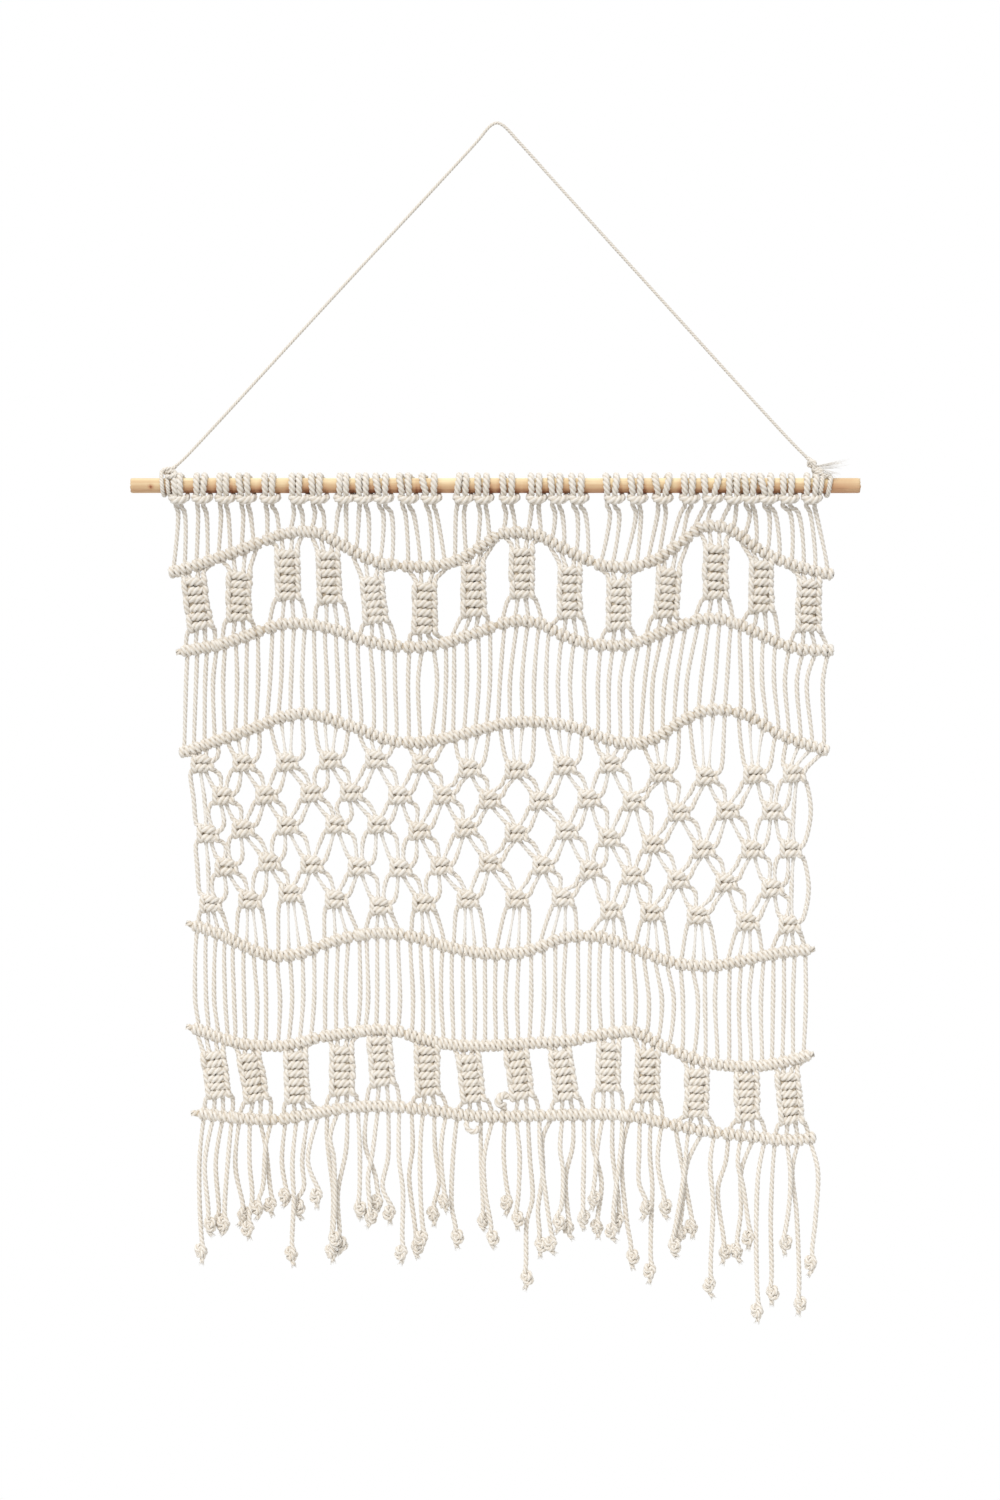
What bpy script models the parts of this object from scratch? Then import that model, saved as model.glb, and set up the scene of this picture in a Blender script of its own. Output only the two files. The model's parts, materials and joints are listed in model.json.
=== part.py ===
"""A macrame wall hanging on a wooden dowel, with the cord that it hangs from.

Metres, +Z up. The hanging faces -Y and its width runs along X. The origin is where a nail or hook
bears on the hanger cord, under the top of its bend.

The knotted work is one closed solid: 28 lark's heads round the dowel, strands between ridged bars
of double half hitches, 28 ridged sinnets of square knots and a net of 68 plain square knots. The
last bar carries the fringe and is a solid of its own.
"""

import math
from collections import namedtuple

import bmesh
import bpy
import numpy as np
from mathutils import Vector

# ---- Driving sizes ------------------------------------------------------------------------------

DOWEL_RADIUS = 0.0061
DOWEL_LEFT = -0.3063
DOWEL_RIGHT = 0.3038
DOWEL_HEIGHT = -0.3031
DOWEL_SIDES = 24

CORD = 0.0042
GAP = 0.0003
SEAT = 0.0006

HEAD_SIDES = 8
HEAD_HALF_WIDTH = 0.0062

BAR_HALF_HEIGHT = 0.0050
RIDGE_DEPTH = 0.0052
VALLEY_DEPTH = 0.0038
BAR_STUB = 0.0075

SINNET_HALF_WIDTH = 0.0102
SINNET_BANDS = 6

NET_KNOT_HALF_WIDTH = 0.0096
NET_KNOT_HALF_HEIGHT = 0.0058
NET_LINK_DEPTH = 0.0028

PAIR_HALF_WIDTH = 0.0054
FAN_DEPTH = 0.0030

TIP_KNOT_HALF_WIDTH = 0.0050
TIP_KNOT_HALF_HEIGHT = 0.0062
TIP_KNOT_DEPTH = 0.0030
TIP_TAIL = 0.0110
MOST_DRIFT = 0.0040
STRAND_STAGGER = 0.0032
SHORTEST_KNOTTED = 0.0300

HANGER_DIAMETER = 0.0030
TIE_KNOT_RADIUS = 0.0032
TIE_TURN_RADIUS = 0.0019
TIE_PITCH = 0.0034
TIE_LEFT = -0.2782
TIE_RIGHT = 0.2746

# Each column is four cords. Their middle, along X: the two lark's heads that they hang from, then
# the bars that they cross. The fourth bar and the fifth share one entry.
Column = namedtuple("Column", "head_a head_b bar_1 bar_2 bar_3 bar_5 bar_6")
COLUMNS = (
    Column(-0.2678, -0.2477, -0.2536, -0.2477, -0.2481, -0.2385, -0.2335),
    Column(-0.2284, -0.2109, -0.2159, -0.2151, -0.2136, -0.2067, -0.2025),
    Column(-0.1908, -0.1665, -0.1757, -0.1749, -0.1770, -0.1690, -0.1640),
    Column(-0.1502, -0.1289, -0.1414, -0.1389, -0.1381, -0.1297, -0.1297),
    Column(-0.1130, -0.0962, -0.1038, -0.1004, -0.0996, -0.0962, -0.0954),
    Column(-0.0753, -0.0561, -0.0586, -0.0586, -0.0590, -0.0586, -0.0569),
    Column(-0.0293, -0.0126, -0.0192, -0.0218, -0.0218, -0.0234, -0.0184),
    Column(0.0092, 0.0318, 0.0209, 0.0209, 0.0163, 0.0134, 0.0209),
    Column(0.0502, 0.0669, 0.0602, 0.0602, 0.0569, 0.0523, 0.0590),
    Column(0.0971, 0.1163, 0.1021, 0.1021, 0.0979, 0.0925, 0.0929),
    Column(0.1372, 0.1598, 0.1431, 0.1414, 0.1360, 0.1289, 0.1247),
    Column(0.1791, 0.1975, 0.1820, 0.1820, 0.1753, 0.1690, 0.1661),
    Column(0.2117, 0.2259, 0.2205, 0.2192, 0.2188, 0.2084, 0.2092),
    Column(0.2427, 0.2619, 0.2611, 0.2611, 0.2582, 0.2443, 0.2473),
)

# A bar's middle line (x, z), from its left end to its right. Its cords cross it at the places of the
# named column entry.
Bar = namedtuple("Bar", "places line")
BARS = (
    Bar("bar_1", ((-0.2745, -0.3752), (-0.2653, -0.3730), (-0.2485, -0.3679), (-0.2318, -0.3620),
                  (-0.2151, -0.3562), (-0.1983, -0.3496), (-0.1816, -0.3433), (-0.1648, -0.3401),
                  (-0.1481, -0.3417), (-0.1314, -0.3505), (-0.1146, -0.3603), (-0.0979, -0.3669),
                  (-0.0812, -0.3693), (-0.0644, -0.3701), (-0.0477, -0.3693), (-0.0310, -0.3642),
                  (-0.0142, -0.3538), (0.0025, -0.3423), (0.0192, -0.3409), (0.0360, -0.3443),
                  (0.0527, -0.3531), (0.0695, -0.3616), (0.0862, -0.3685), (0.1029, -0.3705),
                  (0.1197, -0.3691), (0.1364, -0.3623), (0.1531, -0.3506), (0.1699, -0.3369),
                  (0.1816, -0.3352), (0.1950, -0.3384), (0.2033, -0.3438), (0.2201, -0.3564),
                  (0.2368, -0.3645), (0.2536, -0.3704), (0.2703, -0.3747), (0.2820, -0.3769))),
    Bar("bar_2", ((-0.2686, -0.4417), (-0.2569, -0.4397), (-0.2485, -0.4382), (-0.2318, -0.4351),
                  (-0.2151, -0.4299), (-0.1983, -0.4237), (-0.1816, -0.4180), (-0.1648, -0.4171),
                  (-0.1481, -0.4195), (-0.1314, -0.4238), (-0.1146, -0.4307), (-0.0979, -0.4347),
                  (-0.0812, -0.4368), (-0.0644, -0.4373), (-0.0477, -0.4347), (-0.0310, -0.4299),
                  (-0.0142, -0.4244), (0.0025, -0.4177), (0.0192, -0.4147), (0.0360, -0.4171),
                  (0.0527, -0.4263), (0.0695, -0.4328), (0.0862, -0.4354), (0.1029, -0.4365),
                  (0.1197, -0.4326), (0.1364, -0.4257), (0.1531, -0.4192), (0.1699, -0.4137),
                  (0.1866, -0.4135), (0.2033, -0.4186), (0.2201, -0.4263), (0.2368, -0.4343),
                  (0.2536, -0.4392), (0.2703, -0.4400), (0.2778, -0.4398))),
    Bar("bar_3", ((-0.2661, -0.5257), (-0.2569, -0.5238), (-0.2485, -0.5205), (-0.2318, -0.5148),
                  (-0.2151, -0.5094), (-0.1983, -0.5030), (-0.1816, -0.4962), (-0.1648, -0.4925),
                  (-0.1481, -0.4945), (-0.1314, -0.5003), (-0.1146, -0.5059), (-0.0979, -0.5128),
                  (-0.0812, -0.5170), (-0.0644, -0.5171), (-0.0477, -0.5145), (-0.0310, -0.5108),
                  (-0.0142, -0.5062), (0.0025, -0.5019), (0.0192, -0.4996), (0.0360, -0.4998),
                  (0.0527, -0.5017), (0.0695, -0.5053), (0.0862, -0.5128), (0.1029, -0.5170),
                  (0.1197, -0.5180), (0.1364, -0.5118), (0.1531, -0.4997), (0.1699, -0.4916),
                  (0.1824, -0.4893), (0.1950, -0.4901), (0.2117, -0.4949), (0.2201, -0.5004),
                  (0.2368, -0.5103), (0.2536, -0.5168), (0.2703, -0.5220), (0.2770, -0.5242))),
    Bar("bar_5", ((-0.2602, -0.6679), (-0.2485, -0.6715), (-0.2402, -0.6745), (-0.2318, -0.6771),
                  (-0.2151, -0.6858), (-0.1983, -0.6932), (-0.1816, -0.6962), (-0.1648, -0.6937),
                  (-0.1481, -0.6870), (-0.1314, -0.6815), (-0.1146, -0.6779), (-0.0979, -0.6763),
                  (-0.0812, -0.6774), (-0.0644, -0.6808), (-0.0477, -0.6863), (-0.0310, -0.6904),
                  (-0.0142, -0.6932), (0.0025, -0.6944), (0.0192, -0.6931), (0.0360, -0.6882),
                  (0.0527, -0.6810), (0.0695, -0.6786), (0.0862, -0.6795), (0.1029, -0.6845),
                  (0.1197, -0.6912), (0.1364, -0.6981), (0.1531, -0.7025), (0.1699, -0.7043),
                  (0.1866, -0.7035), (0.2033, -0.7001), (0.2201, -0.6962), (0.2368, -0.6930),
                  (0.2536, -0.6911), (0.2661, -0.6897))),
    Bar("bar_5", ((-0.2602, -0.7546), (-0.2485, -0.7575), (-0.2318, -0.7642), (-0.2151, -0.7689),
                  (-0.1983, -0.7708), (-0.1816, -0.7712), (-0.1648, -0.7683), (-0.1481, -0.7634),
                  (-0.1314, -0.7610), (-0.1146, -0.7586), (-0.0979, -0.7571), (-0.0812, -0.7591),
                  (-0.0644, -0.7645), (-0.0477, -0.7687), (-0.0310, -0.7707), (-0.0142, -0.7710),
                  (0.0025, -0.7704), (0.0192, -0.7692), (0.0360, -0.7682), (0.0527, -0.7674),
                  (0.0695, -0.7654), (0.0862, -0.7613), (0.1029, -0.7591), (0.1113, -0.7586),
                  (0.1197, -0.7601), (0.1364, -0.7699), (0.1531, -0.7774), (0.1699, -0.7836),
                  (0.1866, -0.7870), (0.2033, -0.7881), (0.2201, -0.7878), (0.2368, -0.7853),
                  (0.2536, -0.7807), (0.2653, -0.7774))),
    Bar("bar_6", ((-0.2561, -0.8273), (-0.2485, -0.8272), (-0.2318, -0.8295), (-0.2151, -0.8314),
                  (-0.1983, -0.8325), (-0.1816, -0.8324), (-0.1648, -0.8296), (-0.1481, -0.8263),
                  (-0.1314, -0.8233), (-0.1146, -0.8217), (-0.0979, -0.8214), (-0.0812, -0.8220),
                  (-0.0644, -0.8236), (-0.0477, -0.8256), (-0.0310, -0.8284), (-0.0142, -0.8299),
                  (0.0025, -0.8301), (0.0192, -0.8296), (0.0360, -0.8290), (0.0527, -0.8288),
                  (0.0695, -0.8284), (0.0862, -0.8279), (0.1029, -0.8288), (0.1197, -0.8308),
                  (0.1364, -0.8345), (0.1531, -0.8380), (0.1699, -0.8417), (0.1866, -0.8437),
                  (0.2033, -0.8457), (0.2201, -0.8473), (0.2368, -0.8499), (0.2536, -0.8495),
                  (0.2669, -0.8470))),
)

# The knots of the net, (x, z), a row at a time.
NET_KNOTS = (
    (
        (-0.2460, -0.5346), (-0.2120, -0.5342), (-0.1749, -0.5334), (-0.1397, -0.5317),
        (-0.1009, -0.5309), (-0.0619, -0.5347), (-0.0230, -0.5386), (0.0167, -0.5397),
        (0.0569, -0.5365), (0.0952, -0.5347), (0.1378, -0.5426), (0.1752, -0.5454),
        (0.2159, -0.5437), (0.2482, -0.5431),
    ),
    (
        (-0.2288, -0.5619), (-0.1930, -0.5610), (-0.1547, -0.5594), (-0.1213, -0.5588),
        (-0.0812, -0.5612), (-0.0441, -0.5610), (-0.0059, -0.5646), (0.0366, -0.5655),
        (0.0772, -0.5640), (0.1143, -0.5663), (0.1525, -0.5753), (0.1932, -0.5739),
        (0.2309, -0.5744),
    ),
    (
        (-0.2413, -0.5935), (-0.2120, -0.5891), (-0.1750, -0.5867), (-0.1344, -0.5858),
        (-0.0991, -0.5858), (-0.0650, -0.5909), (-0.0262, -0.5885), (0.0168, -0.5927),
        (0.0587, -0.5909), (0.0941, -0.5969), (0.1310, -0.6022), (0.1729, -0.6062),
        (0.2135, -0.6064), (0.2458, -0.6064),
    ),
    (
        (-0.2259, -0.6212), (-0.1905, -0.6170), (-0.1547, -0.6192), (-0.1152, -0.6210),
        (-0.0806, -0.6220), (-0.0465, -0.6205), (-0.0053, -0.6178), (0.0384, -0.6196),
        (0.0784, -0.6232), (0.1137, -0.6282), (0.1514, -0.6319), (0.1920, -0.6341),
        (0.2302, -0.6387),
    ),
    (
        (-0.2396, -0.6516), (-0.2067, -0.6485), (-0.1726, -0.6431), (-0.1344, -0.6480),
        (-0.0973, -0.6536), (-0.0608, -0.6513), (-0.0244, -0.6479), (0.0168, -0.6477),
        (0.0551, -0.6468), (0.0951, -0.6572), (0.1298, -0.6592), (0.1687, -0.6614),
        (0.2093, -0.6668), (0.2446, -0.6692),
    ),
)

# The middle of each sinnet's top and foot, for the upper row and then the lower one.
Sinnet = namedtuple("Sinnet", "x_top z_top x_foot z_foot")
SINNETS = (
    (
        Sinnet(-0.2515, -0.3794, -0.2477, -0.4229),
        Sinnet(-0.2158, -0.3746, -0.2161, -0.4154),
        Sinnet(-0.1757, -0.3563, -0.1749, -0.3978),
        Sinnet(-0.1418, -0.3572, -0.1394, -0.4009),
        Sinnet(-0.1049, -0.3791, -0.1013, -0.4173),
        Sinnet(-0.0602, -0.3836, -0.0611, -0.4263),
        Sinnet(-0.0203, -0.3682, -0.0192, -0.4118),
        Sinnet(0.0207, -0.3546, 0.0207, -0.3964),
        Sinnet(0.0608, -0.3699, 0.0608, -0.4136),
        Sinnet(0.1017, -0.3809, 0.1017, -0.4228),
        Sinnet(0.1435, -0.3718, 0.1407, -0.4127),
        Sinnet(0.1826, -0.3518, 0.1826, -0.3972),
        Sinnet(0.2208, -0.3654, 0.2208, -0.4082),
        Sinnet(0.2608, -0.3809, 0.2599, -0.4246),
    ),
    (
        Sinnet(-0.2374, -0.7758, -0.2329, -0.8140),
        Sinnet(-0.2074, -0.7776, -0.2011, -0.8168),
        Sinnet(-0.1683, -0.7758, -0.1665, -0.8186),
        Sinnet(-0.1301, -0.7713, -0.1292, -0.8122),
        Sinnet(-0.0992, -0.7631, -0.0956, -0.8040),
        Sinnet(-0.0592, -0.7713, -0.0573, -0.8122),
        Sinnet(-0.0246, -0.7786, -0.0192, -0.8176),
        Sinnet(0.0162, -0.7758, 0.0207, -0.8150),
        Sinnet(0.0526, -0.7750, 0.0580, -0.8159),
        Sinnet(0.0935, -0.7685, 0.0926, -0.8086),
        Sinnet(0.1262, -0.7740, 0.1253, -0.8168),
        Sinnet(0.1671, -0.7904, 0.1663, -0.8304),
        Sinnet(0.2081, -0.7940, 0.2099, -0.8331),
        Sinnet(0.2427, -0.7931, 0.2463, -0.8359),
    ),
)

# Where the knots at the ends of the fringe hang, (x, z), a row for each column of four cords. The
# second cord of the seventh row ends in a short stub with no knot.
FRINGE_TIPS = (
    ((-0.2469, -0.9426), (-0.2410, -0.9200), (-0.2326, -0.9175), (-0.2276, -0.9191)),
    ((-0.2130, -0.9116), (-0.2075, -0.9233), (-0.1992, -0.9058), (-0.1891, -0.9041)),
    ((-0.1766, -0.8965), (-0.1711, -0.9442), (-0.1669, -0.9058), (-0.1502, -0.8957)),
    ((-0.1381, -0.9434), (-0.1364, -0.9317), (-0.1314, -0.9367), (-0.1155, -0.9066)),
    ((-0.1063, -0.9133), (-0.0996, -0.9016), (-0.0895, -0.9108), (-0.0791, -0.9434)),
    ((-0.0678, -0.9392), (-0.0619, -0.9309), (-0.0527, -0.9116), (-0.0435, -0.9007)),
    ((-0.0343, -0.9309), (-0.0159, -0.8490), (-0.0121, -0.9166), (-0.0044, -0.9309)),
    ((0.0092, -0.9024), (0.0167, -0.9150), (0.0243, -0.9652), (0.0360, -0.9376)),
    ((0.0458, -0.9359), (0.0510, -0.9183), (0.0602, -0.9225), (0.0715, -0.9141)),
    ((0.0803, -0.8982), (0.0845, -0.9225), (0.0967, -0.9250), (0.1021, -0.9166)),
    ((0.1127, -0.9476), (0.1238, -0.9058), (0.1289, -0.9593), (0.1397, -0.9049)),
    ((0.1473, -0.9376), (0.1531, -0.9275), (0.1636, -0.9225), (0.1782, -0.9702)),
    ((0.1900, -0.9434), (0.2013, -0.9426), (0.2109, -0.9309), (0.2184, -0.9919)),
    ((0.2299, -0.9777), (0.2402, -0.9350), (0.2527, -0.9869), (0.2633, -0.9518)),
)

# The hanger cord's middle line, from the left tie over the nail to the right tie.
HANGER_ROUTE = (
    (-0.2706, 0.0, -0.2846),
    (-0.2560, 0.0, -0.2716),
    (-0.2178, 0.0, -0.2312),
    (-0.1397, 0.0, -0.1470),
    (-0.0619, 0.0, -0.0632),
    (-0.0163, 0.0, -0.0141),
    (-0.0053, 0.0, -0.0008),
    (0.0, 0.0, 0.0015),
    (0.0053, 0.0, -0.0008),
    (0.0168, 0.0, -0.0141),
    (0.0623, 0.0, -0.0632),
    (0.1381, 0.0, -0.1470),
    (0.2146, 0.0, -0.2312),
    (0.2470, 0.0, -0.2662),
    (0.2602, 0.0, -0.2795),
)
HANGER_STEPS = 3

COTTON = (0.80, 0.75, 0.66)
COTTON_SHADE = (0.72, 0.66, 0.55)
WOOD = (0.76, 0.55, 0.38)


# ---- Scene and materials ------------------------------------------------------------------------


def clear_scene():
    for obj in list(bpy.data.objects):
        bpy.data.objects.remove(obj, do_unlink=True)


def material(name, colour, roughness):
    made = bpy.data.materials.new(name)
    made.use_nodes = True
    shader = made.node_tree.nodes["Principled BSDF"]
    shader.inputs["Base Color"].default_value = (*colour, 1.0)
    shader.inputs["Roughness"].default_value = roughness
    shader.inputs["Metallic"].default_value = 0.0
    return made


def add_object(name, data, finish, collection):
    data.materials.append(finish)
    obj = bpy.data.objects.new(name, data)
    collection.objects.link(obj)
    return obj


# ---- A form made of two skins -------------------------------------------------------------------


class Skins:
    """A front and a back skin that meet along every free edge, so the form is closed.

    A point is a pair of vertices. A rim point has the same vertex in both skins, and a crown
    point has one vertex in front and one behind.
    """

    def __init__(self):
        self.mesh = bmesh.new()

    def rim(self, x, z, y=0.0):
        vertex = self.mesh.verts.new((x, y, z))
        return (vertex, vertex)

    def crown(self, x, z, depth, y=0.0):
        front = self.mesh.verts.new((x, y - depth, z))
        back = self.mesh.verts.new((x, y + depth, z))
        return (front, back)

    def face(self, *points):
        self.mesh.faces.new([point[0] for point in points])
        self.mesh.faces.new([point[1] for point in reversed(points)])

    def section(self, x, z, half_width, depth, y=0.0):
        """A cut across a strand: its left edge, crown and right edge."""
        return (self.rim(x - half_width, z, y), self.crown(x, z, depth, y), self.rim(x + half_width, z, y))

    def join(self, upper, lower):
        """The length of strand between two sections."""
        self.face(upper[0], lower[0], lower[1], upper[1])
        self.face(upper[1], lower[1], lower[2], upper[2])

    def end(self, section, tip):
        """Closes a strand at a rim point."""
        self.face(section[0], tip, section[1])
        self.face(section[1], tip, section[2])

    def fill(self, edge, ridge, axis):
        """Triangles between a chain of edge points and a chain of ridge points, both along one axis."""
        i = 0
        j = 0
        sense = 1.0 if ridge[-1][0].co[axis] > ridge[0][0].co[axis] else -1.0
        while i < len(edge) - 1 or j < len(ridge) - 1:
            if i == len(edge) - 1:
                edge_first = False
            elif j >= len(ridge) - 2:
                edge_first = True
            else:
                edge_first = sense * edge[i + 1][0].co[axis] <= sense * ridge[j + 1][0].co[axis]
            if edge_first:
                self.face(edge[i], edge[i + 1], ridge[j])
                i += 1
            else:
                self.face(edge[i], ridge[j + 1], ridge[j])
                j += 1

    def finish(self, name):
        bmesh.ops.recalc_face_normals(self.mesh, faces=self.mesh.faces)
        data = bpy.data.meshes.new(name)
        self.mesh.to_mesh(data)
        self.mesh.free()
        return data


# ---- Where things are ---------------------------------------------------------------------------


def cord_places(entry):
    """The X of the 56 cords where they cross a level: four about the middle of each column."""
    middles = [getattr(column, entry) for column in COLUMNS]
    places = []
    for i, middle in enumerate(middles):
        before = middles[max(i - 1, 0)]
        after = middles[min(i + 1, len(middles) - 1)]
        columns_between = 2 if 0 < i < len(middles) - 1 else 1
        pitch = (after - before) / (4 * columns_between)
        places += [middle + (k - 1.5) * pitch for k in range(4)]
    return places


def bar_height(bar, x):
    """The Z of a bar's middle line."""
    places, heights = zip(*bar.line)
    return float(np.interp(x, places, heights))


# ---- Knots and bars -----------------------------------------------------------------------------


def edge_sections(form, bar, side, kind):
    """The sections that leave one edge of a bar, above (side 1) or below it (side -1)."""
    places = cord_places(bar.places)
    group = {"strands": 1, "pairs": 2, "fans": 4}[kind]
    sections = []
    for i in range(0, len(places), group):
        middle = sum(places[i:i + group]) / group
        if kind == "fans":
            half_width = 0.5 * (places[i + 3] - places[i]) + 0.5 * CORD
            depth = FAN_DEPTH
        else:
            half_width = 0.5 * CORD if kind == "strands" else PAIR_HALF_WIDTH
            depth = 0.5 * CORD
        points = []
        for x in (middle - half_width, middle, middle + half_width):
            z = bar_height(bar, x) + side * BAR_HALF_HEIGHT
            points.append(form.crown(x, z, depth) if x == middle else form.rim(x, z))
        sections.append(tuple(points))
    return sections


def plain_edge(form, bar, side):
    """A bar's edge with nothing on it."""
    return [form.rim(x, bar_height(bar, x) + side * BAR_HALF_HEIGHT) for x in cord_places(bar.places)]


def knotted_bar(form, bar, above, below):
    """A bar of double half hitches: a ridge for each cord, and valleys between, from stub to stub."""
    places = cord_places(bar.places)
    ridge = [form.rim(places[0] - BAR_STUB, bar_height(bar, places[0]))]
    for x, following in zip(places, places[1:] + [None]):
        ridge.append(form.crown(x, bar_height(bar, x), RIDGE_DEPTH))
        if following is not None:
            between = 0.5 * (x + following)
            ridge.append(form.crown(between, bar_height(bar, between), VALLEY_DEPTH))
    ridge.append(form.rim(places[-1] + BAR_STUB, bar_height(bar, places[-1])))
    form.fill(above, ridge, 0)
    form.fill(below, ridge, 0)


def flat(sections):
    return [point for section in sections for point in section]


def larks_head(form, x, strand):
    """A band round the dowel whose outer face, straight below, runs on as a pair of cords."""
    step = 2.0 * math.pi / HEAD_SIDES
    inner = (DOWEL_RADIUS + SEAT) / math.cos(0.5 * step)
    outer = (DOWEL_RADIUS + SEAT + CORD) / math.cos(0.5 * step)
    rings = []
    for i in range(HEAD_SIDES):
        angle = -0.5 * math.pi + (i + 0.5) * step
        ring = []
        for radius, across in ((outer, -1), (inner, -1), (inner, 1), (outer, 1)):
            out = radius * math.cos(angle)
            up = radius * math.sin(angle)
            ring.append(form.mesh.verts.new((x + across * HEAD_HALF_WIDTH, out, DOWEL_HEIGHT + up)))
        rings.append(ring)
    for i in range(HEAD_SIDES):
        ring = rings[i]
        following = rings[(i + 1) % HEAD_SIDES]
        sides = 4 if i < HEAD_SIDES - 1 else 3
        for k in range(sides):
            after = (k + 1) % 4
            form.mesh.faces.new((ring[k], ring[after], following[after], following[k]))
    left = (rings[-1][0], rings[0][0])
    right = (rings[-1][3], rings[0][3])
    form.face(left, strand[0], strand[1])
    form.face(left, strand[1], right)
    form.face(right, strand[1], strand[2])
    form.mesh.faces.new((left[0], left[1], strand[0][0]))
    form.mesh.faces.new((right[1], right[0], strand[2][0]))


def sinnet(form, place, top, foot):
    """A column of square knots with its cords fanning out to the bars above and below."""
    band = (place.z_top - place.z_foot) / SINNET_BANDS
    left = [top[0]]
    ridge = [top[1]]
    right = [top[2]]
    for i in range(2 * SINNET_BANDS + 1):
        along = i / (2 * SINNET_BANDS)
        x = place.x_top + (place.x_foot - place.x_top) * along
        z = place.z_top + (place.z_foot - place.z_top) * along
        if i % 2:
            left.append(form.rim(x - SINNET_HALF_WIDTH, z))
            right.append(form.rim(x + SINNET_HALF_WIDTH, z))
            ridge.append(form.crown(x, z + 0.1 * band, RIDGE_DEPTH))
        else:
            ridge.append(form.crown(x, z, VALLEY_DEPTH))
    form.fill(left + [foot[0]], ridge + [foot[1]], 2)
    form.fill(right + [foot[2]], ridge + [foot[1]], 2)


def net_knot(form, x, z):
    """One square knot. Returns the sections of the four pairs of cords that leave it."""
    west = form.rim(x - NET_KNOT_HALF_WIDTH, z)
    east = form.rim(x + NET_KNOT_HALF_WIDTH, z)
    north = form.rim(x, z + NET_KNOT_HALF_HEIGHT)
    south = form.rim(x, z - NET_KNOT_HALF_HEIGHT)
    middle = form.crown(x, z, RIDGE_DEPTH)
    half = 0.5 * NET_KNOT_HALF_WIDTH
    rise = 0.5 * NET_KNOT_HALF_HEIGHT
    north_west = form.crown(x - half, z + rise, NET_LINK_DEPTH)
    north_east = form.crown(x + half, z + rise, NET_LINK_DEPTH)
    south_west = form.crown(x - half, z - rise, NET_LINK_DEPTH)
    south_east = form.crown(x + half, z - rise, NET_LINK_DEPTH)
    around = (west, south_west, south, south_east, east, north_east, north, north_west)
    for point, following in zip(around, around[1:] + around[:1]):
        form.face(middle, point, following)
    return {
        "upper_left": (west, north_west, north),
        "upper_right": (north, north_east, east),
        "lower_left": (west, south_west, south),
        "lower_right": (south, south_east, east),
    }


def net(form, from_bar, to_bar):
    """Five rows of square knots, each row's knots set between those of the row above."""
    rows = [[net_knot(form, x, z) for x, z in row] for row in NET_KNOTS]
    for i, knot in enumerate(rows[0]):
        form.join(from_bar[2 * i], knot["upper_left"])
        form.join(from_bar[2 * i + 1], knot["upper_right"])
    for upper, lower in zip(rows, rows[1:]):
        inset = 0 if len(upper) > len(lower) else 1
        for i, knot in enumerate(lower):
            left = i - inset
            right = i - inset + 1
            if left >= 0:
                form.join(upper[left]["lower_right"], knot["upper_left"])
            if right < len(upper):
                form.join(upper[right]["lower_left"], knot["upper_right"])
    for upper, lower in ((rows[0], rows[2]), (rows[2], rows[4])):
        form.join(upper[0]["lower_left"], lower[0]["upper_left"])
        form.join(upper[-1]["lower_right"], lower[-1]["upper_right"])
    for i, knot in enumerate(rows[-1]):
        form.join(knot["lower_left"], to_bar[2 * i])
        form.join(knot["lower_right"], to_bar[2 * i + 1])


# ---- The pieces ---------------------------------------------------------------------------------


def free_feet(form, bar):
    """The lower ends of the last sinnets, seated just clear of the bar that carries the fringe."""
    places = cord_places(bar.places)
    feet = []
    for i in range(0, len(places), 4):
        foot = []
        for x in (places[i], 0.5 * (places[i + 1] + places[i + 2]), places[i + 3]):
            foot.append(form.rim(x, bar_height(bar, x) + BAR_HALF_HEIGHT + SEAT))
        feet.append(foot)
    return feet


def knotted_panel():
    form = Skins()
    bars = BARS[:5]
    above = ["pairs", "fans", "strands", "pairs", "strands"]
    below = ["fans", "strands", "pairs", "strands", "fans"]
    tops = []
    feet = []
    for bar, kind_above, kind_below in zip(bars, above, below):
        feet.append(edge_sections(form, bar, 1, kind_above))
        tops.append(edge_sections(form, bar, -1, kind_below))
        knotted_bar(form, bar, flat(feet[-1]), flat(tops[-1]))
    heads = [x for column in COLUMNS for x in (column.head_a, column.head_b)]
    for x, strand in zip(heads, feet[0]):
        larks_head(form, x, strand)
    for place, top, foot in zip(SINNETS[0], tops[0], feet[1]):
        sinnet(form, place, top, foot)
    for upper, lower in zip(tops[1], feet[2]):
        form.join(upper, lower)
    net(form, tops[2], feet[3])
    for upper, lower in zip(tops[3], feet[4]):
        form.join(upper, lower)
    for place, top, foot in zip(SINNETS[1], tops[4], free_feet(form, BARS[5])):
        sinnet(form, place, top, foot)
    return form.finish("knotted_panel")


def fringe_strand(form, root, number, tip_x, tip_z):
    """One hanging cord. Neighbours hang a little in front and behind, and each ends in a knot."""
    x = root[1][0].co.x
    z = root[1][0].co.z
    drift = min(max(tip_x - x, -MOST_DRIFT), MOST_DRIFT)
    if z - tip_z < SHORTEST_KNOTTED:
        form.end(root, form.rim(x + drift, tip_z))
        return
    y = -STRAND_STAGGER if number % 2 else STRAND_STAGGER
    knot_top = tip_z + TIP_KNOT_HALF_HEIGHT
    half = 0.5 * CORD
    sections = (
        form.section(x + 0.2 * drift, z + 0.35 * (knot_top - z), half, half, y),
        form.section(x + drift, knot_top, half, half, y),
        form.section(x + drift, tip_z, TIP_KNOT_HALF_WIDTH, TIP_KNOT_DEPTH, y),
        form.section(x + drift, tip_z - TIP_KNOT_HALF_HEIGHT, half, half, y),
    )
    upper = root
    for lower in sections:
        form.join(upper, lower)
        upper = lower
    form.end(upper, form.rim(x + drift, tip_z - TIP_TAIL, y))


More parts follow.
